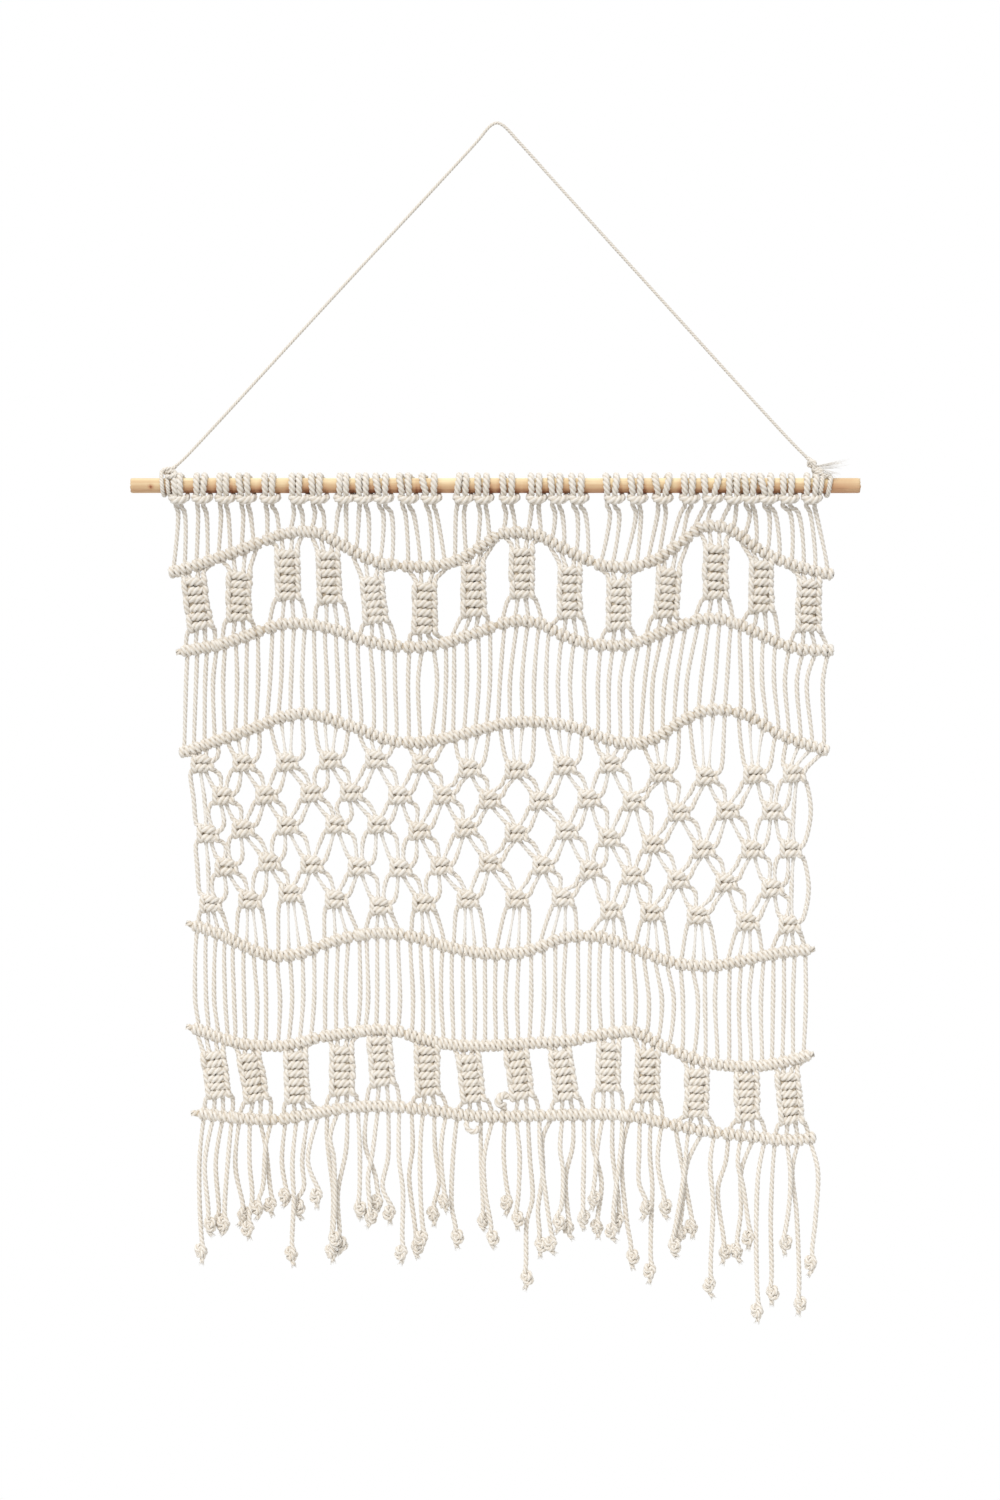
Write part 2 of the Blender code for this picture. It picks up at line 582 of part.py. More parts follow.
def fringe():
    form = Skins()
    bar = BARS[5]
    roots = edge_sections(form, bar, -1, "strands")
    knotted_bar(form, bar, plain_edge(form, bar, 1), flat(roots))
    tips = [tip for row in FRINGE_TIPS for tip in row]
    for number, (root, (tip_x, tip_z)) in enumerate(zip(roots, tips)):
        fringe_strand(form, root, number, tip_x, tip_z)
    return form.finish("fringe")


def dowel(finish, collection):
    bpy.ops.mesh.primitive_cylinder_add(
        vertices=DOWEL_SIDES,
        radius=DOWEL_RADIUS,
        depth=DOWEL_RIGHT - DOWEL_LEFT,
        location=(0.5 * (DOWEL_LEFT + DOWEL_RIGHT), 0.0, DOWEL_HEIGHT),
        rotation=(0.0, 0.5 * math.pi, 0.0),
    )
    obj = bpy.context.object
    obj.name = "dowel"
    obj.data.materials.append(finish)
    obj.users_collection[0].objects.unlink(obj)
    collection.objects.link(obj)
    return obj


def smooth_route(points, steps):
    """Points on a Catmull-Rom curve through the given ones."""
    points = [Vector(point) for point in points]
    ends = [2 * points[0] - points[1]] + points + [2 * points[-1] - points[-2]]
    route = []
    for a, b, c, d in zip(ends, ends[1:], ends[2:], ends[3:]):
        for i in range(steps):
            t = i / steps
            bend = (2 * a - 5 * b + 4 * c - d) * t ** 2
            twist = (3 * b - a - 3 * c + d) * t ** 3
            route.append(0.5 * (2 * b + (c - a) * t + bend + twist))
    route.append(points[-1])
    return route


def hanger_cord(finish, collection):
    curve = bpy.data.curves.new("hanger_cord", "CURVE")
    curve.dimensions = "3D"
    curve.bevel_depth = 0.5 * HANGER_DIAMETER
    curve.bevel_resolution = 2
    curve.use_fill_caps = True
    route = smooth_route(HANGER_ROUTE, HANGER_STEPS)
    spline = curve.splines.new("POLY")
    spline.points.add(len(route) - 1)
    for point, place in zip(spline.points, route):
        point.co = (*place, 1.0)
    return add_object("hanger_cord", curve, finish, collection)


def join_to(target, name, helper):
    """Fuses a helper shape to the target and leaves the helper out of the render."""
    helper.name = name
    helper.hide_render = True
    helper.display_type = "WIRE"
    union = target.modifiers.new("fuse", "BOOLEAN")
    union.operation = "UNION"
    union.object = helper


def hanger_tie(name, x, route_end, before_end, finish, collection):
    """Two turns of the hanger cord round the dowel, led up to a knot that stands off the cord's end."""
    end = Vector(route_end)
    along = (end - Vector(before_end)).normalized()
    knot = end + along * (TIE_KNOT_RADIUS + GAP)
    turn_ring = DOWEL_RADIUS + SEAT + TIE_TURN_RADIUS
    turns_top = Vector((x, 0.0, DOWEL_HEIGHT + turn_ring))
    bpy.ops.mesh.primitive_uv_sphere_add(segments=10, ring_count=6, radius=TIE_KNOT_RADIUS, location=knot)
    tie = bpy.context.object
    tie.name = name
    tie.data.materials.append(finish)
    tie.users_collection[0].objects.unlink(tie)
    collection.objects.link(tie)
    for side in (-0.5, 0.5):
        bpy.ops.mesh.primitive_torus_add(
            major_segments=16,
            minor_segments=6,
            major_radius=turn_ring / math.cos(math.pi / 16),
            minor_radius=TIE_TURN_RADIUS,
            location=(x + side * TIE_PITCH, 0.0, DOWEL_HEIGHT),
            rotation=(0.0, 0.5 * math.pi, 0.0),
        )
        join_to(tie, f"{name}_turn", bpy.context.object)
    lead = turns_top - knot
    bpy.ops.mesh.primitive_cylinder_add(
        vertices=8,
        radius=0.5 * HANGER_DIAMETER,
        depth=lead.length,
        location=0.5 * (turns_top + knot),
        rotation=lead.to_track_quat("Z", "Y").to_euler(),
    )
    join_to(tie, f"{name}_lead", bpy.context.object)


def main():
    clear_scene()
    collection = bpy.data.collections.new("macrame_wall_hanging")
    bpy.context.scene.collection.children.link(collection)
    cotton = material("cotton_cord", COTTON, 0.92)
    thin_cotton = material("hanger_cotton", COTTON_SHADE, 0.9)
    wood = material("bare_wood", WOOD, 0.6)
    dowel(wood, collection)
    add_object("knotted_panel", knotted_panel(), cotton, collection)
    add_object("fringe", fringe(), cotton, collection)
    hanger_cord(thin_cotton, collection)
    hanger_tie("hanger_tie_left", TIE_LEFT, HANGER_ROUTE[0], HANGER_ROUTE[1], thin_cotton, collection)
    hanger_tie("hanger_tie_right", TIE_RIGHT, HANGER_ROUTE[-1], HANGER_ROUTE[-2], thin_cotton, collection)


main()
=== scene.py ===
"""The looks of the macrame wall hanging: every cord is laid as a three-strand rope, through its knots.

Most places are those of the frame's solids, and some are the scene's own. Each pair of cords is one
rope folded over the dowel in a lark's head, and its two ends run down through the bars, the sinnets
and the net to the fringe.
Metres, +Z up, the front towards -Y.
"""

import json
import math
import random
from collections import namedtuple

import bpy
import numpy as np
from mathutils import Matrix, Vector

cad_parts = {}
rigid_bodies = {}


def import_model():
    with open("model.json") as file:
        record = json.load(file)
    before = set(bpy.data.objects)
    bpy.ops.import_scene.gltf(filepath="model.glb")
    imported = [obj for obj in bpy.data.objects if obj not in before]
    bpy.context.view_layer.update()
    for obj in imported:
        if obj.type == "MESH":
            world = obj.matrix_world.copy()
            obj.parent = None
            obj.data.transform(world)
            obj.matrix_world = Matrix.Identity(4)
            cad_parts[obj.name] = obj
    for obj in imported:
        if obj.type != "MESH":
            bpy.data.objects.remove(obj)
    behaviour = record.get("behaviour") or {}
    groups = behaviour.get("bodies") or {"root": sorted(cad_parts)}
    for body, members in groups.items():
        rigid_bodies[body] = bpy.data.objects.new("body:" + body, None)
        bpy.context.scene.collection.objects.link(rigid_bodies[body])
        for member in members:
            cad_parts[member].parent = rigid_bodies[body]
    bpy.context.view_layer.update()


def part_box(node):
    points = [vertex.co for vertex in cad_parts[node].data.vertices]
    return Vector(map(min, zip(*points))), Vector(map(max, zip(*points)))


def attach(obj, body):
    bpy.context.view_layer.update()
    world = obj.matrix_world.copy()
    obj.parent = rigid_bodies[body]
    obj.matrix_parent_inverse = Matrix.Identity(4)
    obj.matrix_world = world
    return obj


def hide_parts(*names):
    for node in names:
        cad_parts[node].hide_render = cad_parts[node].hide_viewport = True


# ---- Places of the cords, bars and knots --------------------------------------------------------

# The bars and the net's knots stand where the frame's solids have them, and so do nearly all of the
# columns and sinnets. The other tables are the scene's own.

DOWEL_RADIUS = 0.0063
DOWEL_HEIGHT = -0.3020

# Each column is four cords. Their middle, along X: the two lark's heads that they hang from, then
# the bars that they cross. The fourth bar and the fifth share one entry.
Column = namedtuple("Column", "head_a head_b bar_1 bar_2 bar_3 bar_5 bar_6")
COLUMNS = (
    Column(-0.2669, -0.2477, -0.2554, -0.2477, -0.2481, -0.2385, -0.2335),
    Column(-0.2284, -0.2109, -0.2171, -0.2151, -0.2136, -0.2067, -0.2025),
    Column(-0.1908, -0.1665, -0.1769, -0.1749, -0.1770, -0.1690, -0.1640),
    Column(-0.1502, -0.1289, -0.1414, -0.1389, -0.1381, -0.1297, -0.1297),
    Column(-0.1130, -0.0962, -0.1038, -0.1004, -0.0996, -0.0962, -0.0954),
    Column(-0.0753, -0.0561, -0.0586, -0.0586, -0.0590, -0.0586, -0.0569),
    Column(-0.0293, -0.0126, -0.0192, -0.0218, -0.0218, -0.0234, -0.0184),
    Column(0.0092, 0.0318, 0.0209, 0.0209, 0.0163, 0.0134, 0.0209),
    Column(0.0502, 0.0669, 0.0602, 0.0602, 0.0569, 0.0523, 0.0590),
    Column(0.0971, 0.1163, 0.1021, 0.1021, 0.0979, 0.0925, 0.0929),
    Column(0.1372, 0.1598, 0.1431, 0.1414, 0.1360, 0.1289, 0.1247),
    Column(0.1791, 0.1975, 0.1820, 0.1820, 0.1753, 0.1690, 0.1661),
    Column(0.2117, 0.2259, 0.2205, 0.2192, 0.2188, 0.2084, 0.2092),
    Column(0.2427, 0.2619, 0.2611, 0.2611, 0.2582, 0.2443, 0.2473),
)

# How the two legs of each head stand on the dowel's front, along X from the head's middle: where
# they come over its top, and at its foot. A line holds the two heads of a column.
HeadLegs = namedtuple("HeadLegs", "left_top left_foot right_top right_foot")
HEAD_LEGS = tuple(HeadLegs(*row) for row in (
    (-0.0031, -0.0015, 0.0016, 0.0027), (-0.0033, -0.0028, 0.0031, 0.0022),
    (-0.0034, -0.0031, 0.0019, 0.0021), (-0.0050, -0.0026, 0.0016, 0.0029),
    (-0.0034, -0.0025, 0.0031, 0.0028), (-0.0049, -0.0041, 0.0010, 0.0013),
    (-0.0050, -0.0034, 0.0017, 0.0019), (-0.0025, -0.0024, 0.0027, 0.0028),
    (-0.0029, -0.0019, 0.0031, 0.0034), (-0.0052, -0.0023, 0.0029, 0.0029),
    (-0.0063, -0.0037, 0.0008, 0.0019), (-0.0067, -0.0030, 0.0036, 0.0033),
    (-0.0023, -0.0040, 0.0034, 0.0028), (-0.0036, -0.0028, 0.0038, 0.0032),
    (-0.0048, -0.0034, 0.0031, 0.0029), (-0.0034, -0.0027, 0.0033, 0.0031),
    (-0.0056, -0.0038, 0.0022, 0.0019), (-0.0046, -0.0030, 0.0034, 0.0030),
    (-0.0061, -0.0049, 0.0027, 0.0013), (-0.0048, -0.0027, 0.0033, 0.0030),
    (-0.0054, -0.0025, 0.0065, 0.0033), (-0.0036, -0.0027, 0.0036, 0.0027),
    (-0.0063, -0.0050, 0.0058, 0.0023), (-0.0036, -0.0033, 0.0025, 0.0027),
    (-0.0052, -0.0033, 0.0026, 0.0021), (-0.0059, -0.0021, 0.0028, 0.0023),
    (-0.0038, -0.0034, 0.0033, 0.0028), (-0.0028, -0.0031, 0.0048, 0.0037),
))

# A bar's middle line. Its heights are given at even steps along X, with None where it has points of
# its own, and then its other points (x, z). Its cords cross it at the places of the named column
# entry.
FIRST_STEP = -0.24853
BAR_STEP = 0.016736
Bar = namedtuple("Bar", "places line")


def new_bar(places, heights, *others):
    """A bar with the points of its middle line in order, from its left end to its right."""
    steps = [(round(FIRST_STEP + BAR_STEP * i, 4), z) for i, z in enumerate(heights) if z is not None]
    return Bar(places, sorted([*steps, *others]))


BARS = (
    new_bar(
        "bar_1",
        (
            -0.3679, -0.3620, -0.3562, -0.3496, -0.3433, -0.3401, -0.3417, -0.3505, -0.3603, -0.3669,
            -0.3693, -0.3701, -0.3693, -0.3642, -0.3538, -0.3423, -0.3409, -0.3443, -0.3531, -0.3616,
            -0.3685, -0.3705, -0.3691, -0.3623, -0.3506, -0.3369, None, -0.3438, -0.3564, -0.3645,
            -0.3704, -0.3747,
        ),
        (-0.2745, -0.3752), (-0.2653, -0.3730), (0.1816, -0.3352), (0.1950, -0.3384), (0.2820, -0.3769),
    ),
    new_bar(
        "bar_2",
        (
            -0.4382, -0.4351, -0.4299, -0.4237, -0.4180, -0.4171, -0.4195, -0.4238, -0.4307, -0.4347,
            -0.4368, -0.4373, -0.4347, -0.4299, -0.4244, -0.4177, -0.4147, -0.4171, -0.4263, -0.4328,
            -0.4354, -0.4365, -0.4326, -0.4257, -0.4192, -0.4137, -0.4135, -0.4186, -0.4263, -0.4343,
            -0.4392, -0.4400,
        ),
        (-0.2686, -0.4417), (-0.2569, -0.4397), (0.2778, -0.4398),
    ),
    new_bar(
        "bar_3",
        (
            -0.5205, -0.5148, -0.5094, -0.5030, -0.4962, -0.4925, -0.4945, -0.5003, -0.5059, -0.5128,
            -0.5170, -0.5171, -0.5145, -0.5108, -0.5062, -0.5019, -0.4996, -0.4998, -0.5017, -0.5053,
            -0.5128, -0.5170, -0.5180, -0.5118, -0.4997, -0.4916, None, None, -0.5004, -0.5103,
            -0.5168, -0.5220,
        ),
        (-0.2661, -0.5257), (-0.2569, -0.5238), (0.1824, -0.4893), (0.1950, -0.4901), (0.2117, -0.4949),
        (0.2770, -0.5242),
    ),
    new_bar(
        "bar_5",
        (
            -0.6715, -0.6771, -0.6858, -0.6932, -0.6962, -0.6937, -0.6870, -0.6815, -0.6779, -0.6763,
            -0.6774, -0.6808, -0.6863, -0.6904, -0.6932, -0.6944, -0.6931, -0.6882, -0.6810, -0.6786,
            -0.6795, -0.6845, -0.6912, -0.6981, -0.7025, -0.7043, -0.7035, -0.7001, -0.6962, -0.6930,
            -0.6911,
        ),
        (-0.2602, -0.6679), (-0.2402, -0.6745), (0.2661, -0.6897),
    ),
    new_bar(
        "bar_5",
        (
            -0.7575, -0.7642, -0.7689, -0.7708, -0.7712, -0.7683, -0.7634, -0.7610, -0.7586, -0.7571,
            -0.7591, -0.7645, -0.7687, -0.7707, -0.7710, -0.7704, -0.7692, -0.7682, -0.7674, -0.7654,
            -0.7613, -0.7591, -0.7601, -0.7699, -0.7774, -0.7836, -0.7870, -0.7881, -0.7878, -0.7853,
            -0.7807,
        ),
        (-0.2602, -0.7546), (0.1113, -0.7586), (0.2653, -0.7774),
    ),
    new_bar(
        "bar_6",
        (
            -0.8272, -0.8295, -0.8314, -0.8325, -0.8324, -0.8296, -0.8263, -0.8233, -0.8217, -0.8214,
            -0.8220, -0.8236, -0.8256, -0.8284, -0.8299, -0.8301, -0.8296, -0.8290, -0.8288, -0.8284,
            -0.8279, -0.8288, -0.8308, -0.8345, -0.8380, -0.8417, -0.8437, -0.8457, -0.8473, -0.8499,
            -0.8495,
        ),
        (-0.2561, -0.8273), (0.2669, -0.8470),
    ),
)

# The knots of the net, (x, z), a row at a time.
NET_KNOTS = (
    (
        (-0.2460, -0.5346), (-0.2120, -0.5342), (-0.1749, -0.5334), (-0.1397, -0.5317),
        (-0.1009, -0.5309), (-0.0619, -0.5347), (-0.0230, -0.5386), (0.0167, -0.5397),
        (0.0569, -0.5365), (0.0952, -0.5347), (0.1378, -0.5426), (0.1752, -0.5454),
        (0.2159, -0.5437), (0.2482, -0.5431),
    ),
    (
        (-0.2288, -0.5619), (-0.1930, -0.5610), (-0.1547, -0.5594), (-0.1213, -0.5588),
        (-0.0812, -0.5612), (-0.0441, -0.5610), (-0.0059, -0.5646), (0.0366, -0.5655),
        (0.0772, -0.5640), (0.1143, -0.5663), (0.1525, -0.5753), (0.1932, -0.5739),
        (0.2309, -0.5744),
    ),
    (
        (-0.2413, -0.5935), (-0.2120, -0.5891), (-0.1750, -0.5867), (-0.1344, -0.5858),
        (-0.0991, -0.5858), (-0.0650, -0.5909), (-0.0262, -0.5885), (0.0168, -0.5927),
        (0.0587, -0.5909), (0.0941, -0.5969), (0.1310, -0.6022), (0.1729, -0.6062),
        (0.2135, -0.6064), (0.2458, -0.6064),
    ),
    (
        (-0.2259, -0.6212), (-0.1905, -0.6170), (-0.1547, -0.6192), (-0.1152, -0.6210),
        (-0.0806, -0.6220), (-0.0465, -0.6205), (-0.0053, -0.6178), (0.0384, -0.6196),
        (0.0784, -0.6232), (0.1137, -0.6282), (0.1514, -0.6319), (0.1920, -0.6341),
        (0.2302, -0.6387),
    ),
    (
        (-0.2396, -0.6516), (-0.2067, -0.6485), (-0.1726, -0.6431), (-0.1344, -0.6480),
        (-0.0973, -0.6536), (-0.0608, -0.6513), (-0.0244, -0.6479), (0.0168, -0.6477),
        (0.0551, -0.6468), (0.0951, -0.6572), (0.1298, -0.6592), (0.1687, -0.6614),
        (0.2093, -0.6668), (0.2446, -0.6692),
    ),
)

# The middle of each sinnet's top and foot, for the upper row and then the lower one.
Sinnet = namedtuple("Sinnet", "x_top z_top x_foot z_foot")
SINNETS = tuple(tuple(Sinnet(*ends) for ends in row) for row in (
    (
        (-0.2540, -0.3794, -0.2480, -0.4229), (-0.2158, -0.3746, -0.2161, -0.4154),
        (-0.1757, -0.3563, -0.1749, -0.3978), (-0.1418, -0.3572, -0.1394, -0.4009),
        (-0.1049, -0.3791, -0.1013, -0.4173), (-0.0602, -0.3836, -0.0611, -0.4263),
        (-0.0203, -0.3682, -0.0192, -0.4118), (0.0207, -0.3546, 0.0207, -0.3964),
        (0.0608, -0.3699, 0.0608, -0.4136), (0.1017, -0.3809, 0.1017, -0.4228),
        (0.1435, -0.3718, 0.1407, -0.4127), (0.1826, -0.3518, 0.1826, -0.3972),
        (0.2208, -0.3654, 0.2208, -0.4082), (0.2608, -0.3809, 0.2599, -0.4246),
    ),
    (
        (-0.2374, -0.7758, -0.2329, -0.8140), (-0.2074, -0.7776, -0.2011, -0.8168),
        (-0.1683, -0.7758, -0.1665, -0.8186), (-0.1301, -0.7713, -0.1292, -0.8122),
        (-0.0992, -0.7631, -0.0956, -0.8040), (-0.0592, -0.7713, -0.0573, -0.8122),
        (-0.0246, -0.7786, -0.0192, -0.8176), (0.0162, -0.7758, 0.0207, -0.8150),
        (0.0526, -0.7750, 0.0580, -0.8159), (0.0935, -0.7685, 0.0926, -0.8086),
        (0.1262, -0.7740, 0.1253, -0.8168), (0.1671, -0.7904, 0.1663, -0.8304),
        (0.2081, -0.7940, 0.2099, -0.8331), (0.2427, -0.7931, 0.2463, -0.8359),
    ),
))

# Where the 56 cords hang between the heads and the first bar, and halfway down each open stretch.
Hanging = namedtuple("Hanging", "z xs")
BELOW_HEADS = Hanging(-0.3242, (
    -0.2669, -0.2615, -0.2502, -0.2435, -0.2310, -0.2251, -0.2125, -0.2067,
    -0.1925, -0.1849, -0.1699, -0.1632, -0.1523, -0.1456, -0.1331, -0.1264,
    -0.1155, -0.1079, -0.0954, -0.0887, -0.0770, -0.0703, -0.0569, -0.0510,
    -0.0343, -0.0276, -0.0142, -0.0084, 0.0075, 0.0134, 0.0285, 0.0351,
    0.0485, 0.0544, 0.0669, 0.0736, 0.0946, 0.1021, 0.1163, 0.1205,
    0.1347, 0.1414, 0.1540, 0.1598, 0.1715, 0.1782, 0.1916, 0.2000,
    0.2117, 0.2159, 0.2276, 0.2326, 0.2452, 0.2519, 0.2619, 0.2669,
))
UPPER_STRANDS = Hanging(-0.4648, (
    -0.2602, -0.2519, -0.2443, -0.2377, -0.2293, -0.2176, -0.2100, -0.2000,
    -0.1900, -0.1807, -0.1724, -0.1632, -0.1523, -0.1423, -0.1331, -0.1247,
    -0.1155, -0.1038, -0.0946, -0.0854, -0.0745, -0.0661, -0.0502, -0.0427,
    -0.0360, -0.0251, -0.0151, -0.0059, 0.0025, 0.0109, 0.0209, 0.0310,
    0.0410, 0.0510, 0.0611, 0.0728, 0.0845, 0.0937, 0.1029, 0.1130,
    0.1238, 0.1305, 0.1406, 0.1506, 0.1590, 0.1707, 0.1824, 0.1925,
    0.2042, 0.2134, 0.2218, 0.2318, 0.2410, 0.2510, 0.2594, 0.2728,
))
LOWER_STRANDS = Hanging(-0.7325, (
    -0.2527, -0.2435, -0.2368, -0.2276, -0.2201, -0.2117, -0.2008, -0.1933,
    -0.1816, -0.1715, -0.1623, -0.1531, -0.1439, -0.1347, -0.1272, -0.1146,
    -0.1079, -0.1004, -0.0912, -0.0812, -0.0703, -0.0619, -0.0536, -0.0469,
    -0.0377, -0.0285, -0.0184, -0.0100, -0.0017, 0.0067, 0.0167, 0.0285,
    0.0393, 0.0485, 0.0552, 0.0678, 0.0770, 0.0854, 0.0962, 0.1063,
    0.1163, 0.1272, 0.1381, 0.1481, 0.1556, 0.1682, 0.1741, 0.1824,
    0.1941, 0.2025, 0.2109, 0.2209, 0.2310, 0.2402, 0.2477, 0.2586,
))

# The hanger cord's middle line, from the left tie over the nail to the right tie.
HANGER_ROUTE = (
    (-0.2692, 0.0, -0.2860),
    (-0.2630, 0.0, -0.2805),
    (-0.2543, 0.0, -0.2716),
    (-0.2169, 0.0, -0.2312),
    (-0.1397, 0.0, -0.1470),
    (-0.0619, 0.0, -0.0632),
    (-0.0167, 0.0, -0.0141),
    (-0.0053, 0.0, -0.0008),
    (0.0, 0.0, 0.0015),
    (0.0053, 0.0, -0.0008),
    (0.0180, 0.0, -0.0141),
    (0.0623, 0.0, -0.0632),
    (0.1381, 0.0, -0.1470),
    (0.2146, 0.0, -0.2312),
    (0.2470, 0.0, -0.2662),
    (0.2602, 0.0, -0.2795),
)
HANGER_DIAMETER = 0.0030

# How each cord of the fringe hangs, (x, z): its bends, then the middle of its knot. The empty
# row is a cord that ends in a small hook under the last bar.
FRINGE = (
    ((-0.2494, -0.8706), (-0.2469, -0.9426)),
    ((-0.2443, -0.8681), (-0.2410, -0.9200)),
    ((-0.2356, -0.8681), (-0.2326, -0.9175)),
    ((-0.2251, -0.8681), (-0.2276, -0.9191)),
    ((-0.2192, -0.8723), (-0.2130, -0.9116)),
    ((-0.2069, -0.8681), (-0.2046, -0.8957), (-0.2075, -0.9233)),
    ((-0.1941, -0.8539), (-0.1891, -0.9041)),
    ((-0.1933, -0.8539), (-0.1958, -0.8890), (-0.1992, -0.9058)),
    ((-0.1802, -0.8681), (-0.1766, -0.8965)),
    ((-0.1711, -0.8681), (-0.1699, -0.8982), (-0.1711, -0.9442)),
    ((-0.1632, -0.8681), (-0.1619, -0.8899), (-0.1669, -0.9058)),
    ((-0.1582, -0.8664), (-0.1502, -0.8957)),
    ((-0.1425, -0.8472), (-0.1372, -0.8957), (-0.1381, -0.9434)),
    ((-0.1397, -0.8472), (-0.1364, -0.8639), (-0.1364, -0.9317)),
    ((-0.1264, -0.8581), (-0.1335, -0.8957), (-0.1314, -0.9367)),
    ((-0.1146, -0.8606), (-0.1155, -0.9066)),
    ((-0.1105, -0.8539), (-0.1021, -0.8790), (-0.0996, -0.9016)),
    ((-0.1042, -0.8606), (-0.1079, -0.8815), (-0.1063, -0.9133)),
    ((-0.0912, -0.8639), (-0.0958, -0.8899), (-0.0895, -0.9108)),
    ((-0.0820, -0.8639), (-0.0787, -0.8915), (-0.0791, -0.9434)),
    ((-0.0707, -0.8564), (-0.0736, -0.8806), (-0.0678, -0.9392)),
    ((-0.0644, -0.8639), (-0.0619, -0.9309)),
    ((-0.0519, -0.8564), (-0.0485, -0.8848), (-0.0527, -0.9116)),
    ((-0.0469, -0.8564), (-0.0435, -0.9007)),
    ((-0.0368, -0.8639), (-0.0379, -0.9058), (-0.0343, -0.9309)),
    (),
    ((-0.0134, -0.8639), (-0.0121, -0.9166)),
    ((-0.0109, -0.8639), (-0.0100, -0.8915), (-0.0044, -0.9309)),
    ((0.0056, -0.8639), (0.0092, -0.9024)),
    ((0.0190, -0.8639), (0.0167, -0.9150)),
    ((0.0274, -0.8639), (0.0297, -0.8982), (0.0249, -0.9191), (0.0243, -0.9652)),
    ((0.0360, -0.8564), (0.0393, -0.8848), (0.0458, -0.9359)),
    ((0.0385, -0.8472), (0.0385, -0.8773), (0.0343, -0.9083), (0.0360, -0.9376)),
    ((0.0527, -0.8564), (0.0552, -0.8748), (0.0536, -0.9058), (0.0510, -0.9183)),
    ((0.0636, -0.8539), (0.0577, -0.8806), (0.0602, -0.9225)),
    ((0.0728, -0.8564), (0.0720, -0.8915), (0.0715, -0.9141)),
    ((0.0803, -0.8539), (0.0876, -0.8848), (0.0845, -0.9225)),
    ((0.0841, -0.8539), (0.0820, -0.8790), (0.0803, -0.8982)),
    ((0.0967, -0.8606), (0.1013, -0.8957), (0.1021, -0.9166)),
    ((0.1038, -0.8539), (0.0967, -0.9250)),
    ((0.1046, -0.8606), (0.1085, -0.9166), (0.1127, -0.9476)),
    ((0.1188, -0.8606), (0.1188, -0.8857), (0.1238, -0.9058)),
    ((0.1280, -0.8606), (0.1301, -0.8890), (0.1289, -0.9233), (0.1289, -0.9593)),
    ((0.1343, -0.8681), (0.1397, -0.9049)),
    ((0.1531, -0.8606), (0.1636, -0.9225)),
    ((0.1556, -0.8832), (0.1473, -0.9376)),
    ((0.1598, -0.8681), (0.1548, -0.9099), (0.1531, -0.9275)),
    ((0.1782, -0.8681), (0.1807, -0.9024), (0.1782, -0.9702)),
    ((0.1916, -0.8681), (0.1849, -0.8915), (0.1900, -0.9434)),
    ((0.2013, -0.8681), (0.2059, -0.8890), (0.2109, -0.9309)),
    ((0.2048, -0.8748), (0.2042, -0.9099), (0.2013, -0.9426)),
    ((0.2180, -0.8815), (0.2184, -0.9919)),
    ((0.2293, -0.9099), (0.2299, -0.9777)),
    ((0.2452, -0.8748), (0.2443, -0.9024), (0.2402, -0.9350)),
    ((0.2473, -0.8748), (0.2508, -0.9099), (0.2527, -0.9869)),
    ((0.2682, -0.8748), (0.2661, -0.9166), (0.2633, -0.9518)),
)
HOOK = (
    (-0.0256, -0.0016, -0.8352),
    (-0.0250, -0.0036, -0.8392),
    (-0.0214, -0.0036, -0.8422),
    (-0.0174, -0.0030, -0.8420),
    (-0.0150, -0.0012, -0.8385),
)
HOOK_SPREAD = 1.15
# This cord has a loose loop above the last bar.
LOOSE_CORD = 28
LOOSE_LOOP = (
    (0.0052, -0.0022, -0.8120),
    (0.0018, -0.0030, -0.8148),
    (0.0016, -0.0026, -0.8190),
    (0.0050, -0.0010, -0.8205),
)
LOOSE_SPREAD = 1.75

# ---- Sizes of the knots and of the rope ---------------------------------------------------------

CORDS = 56
ROPE_RADIUS = 0.00217
ROPE_LAY = 0.0132
# The steps along a rope: the longest, the shortest, and the part of a bend's radius that one takes.
ROPE_STEP = 0.0021
SHORTEST_STEP = 0.0010
BEND_PART = 0.37
CURVE_SAMPLES = 6
# The outline across a rope, as parts of its radius: each strand is a groove and two points of its
# back. What lies below the last number is a groove, and painted shade darkens its colour.
STRANDS = 3
STRAND_OUTLINE = (0.62, 0.98, 0.98)
GROOVE_BELOW = 0.9
# A tapered rope ends at this part of its radius.
TAPER_END = 0.1
TAPER_POWER = 0.4
# The fibres' pattern: its stretch along a rope, and how far apart it starts on ropes of other tints.
FIBRE_STRETCH = 0.12
FIBRE_SHIFT = 10.0

# A stop on a cord's way through a knot: across, out and up from the knot's middle, and how much
# wider than the plain rope the cord spreads there.
Stop = namedtuple("Stop", "across out up spread")

# One half of a lark's head, in metres from the dowel's middle: from the middle of the bight under
# the dowel and up the back, then over the top, down the front and behind the bight.
BIGHT_STOPS = (
    Stop(0.0003, -0.0080, -0.0130, 1.76),
    Stop(0.0044, -0.0077, -0.0124, 1.72),
    Stop(0.0074, -0.0054, -0.0107, 1.48),
    Stop(0.0079, 0.0002, -0.0092, 1.12),
    Stop(0.0072, 0.0058, -0.0062, 1.00),
    Stop(0.0062, 0.0084, 0.0000, 1.00),
    Stop(0.0044, 0.0059, 0.0062, 1.05),
)
# The left half of the bight is narrower.
LEFT_BIGHT_WIDTH = 0.68
LegStop = namedtuple("LegStop", "out up spread")
LEG_STOPS = (
    LegStop(0.0000, 0.0086, 1.30),
    LegStop(-0.0060, 0.0062, 1.42),
    LegStop(-0.0086, 0.0000, 1.42),
    LegStop(-0.0074, -0.0060, 1.28),
    LegStop(-0.0036, -0.0116, 1.00),
    LegStop(-0.0014, -0.0174, 1.00),
)
# The heights between which a leg goes over from its top's place to its foot's.
LEG_TOP = 0.0052
LEG_FOOT = -0.0073

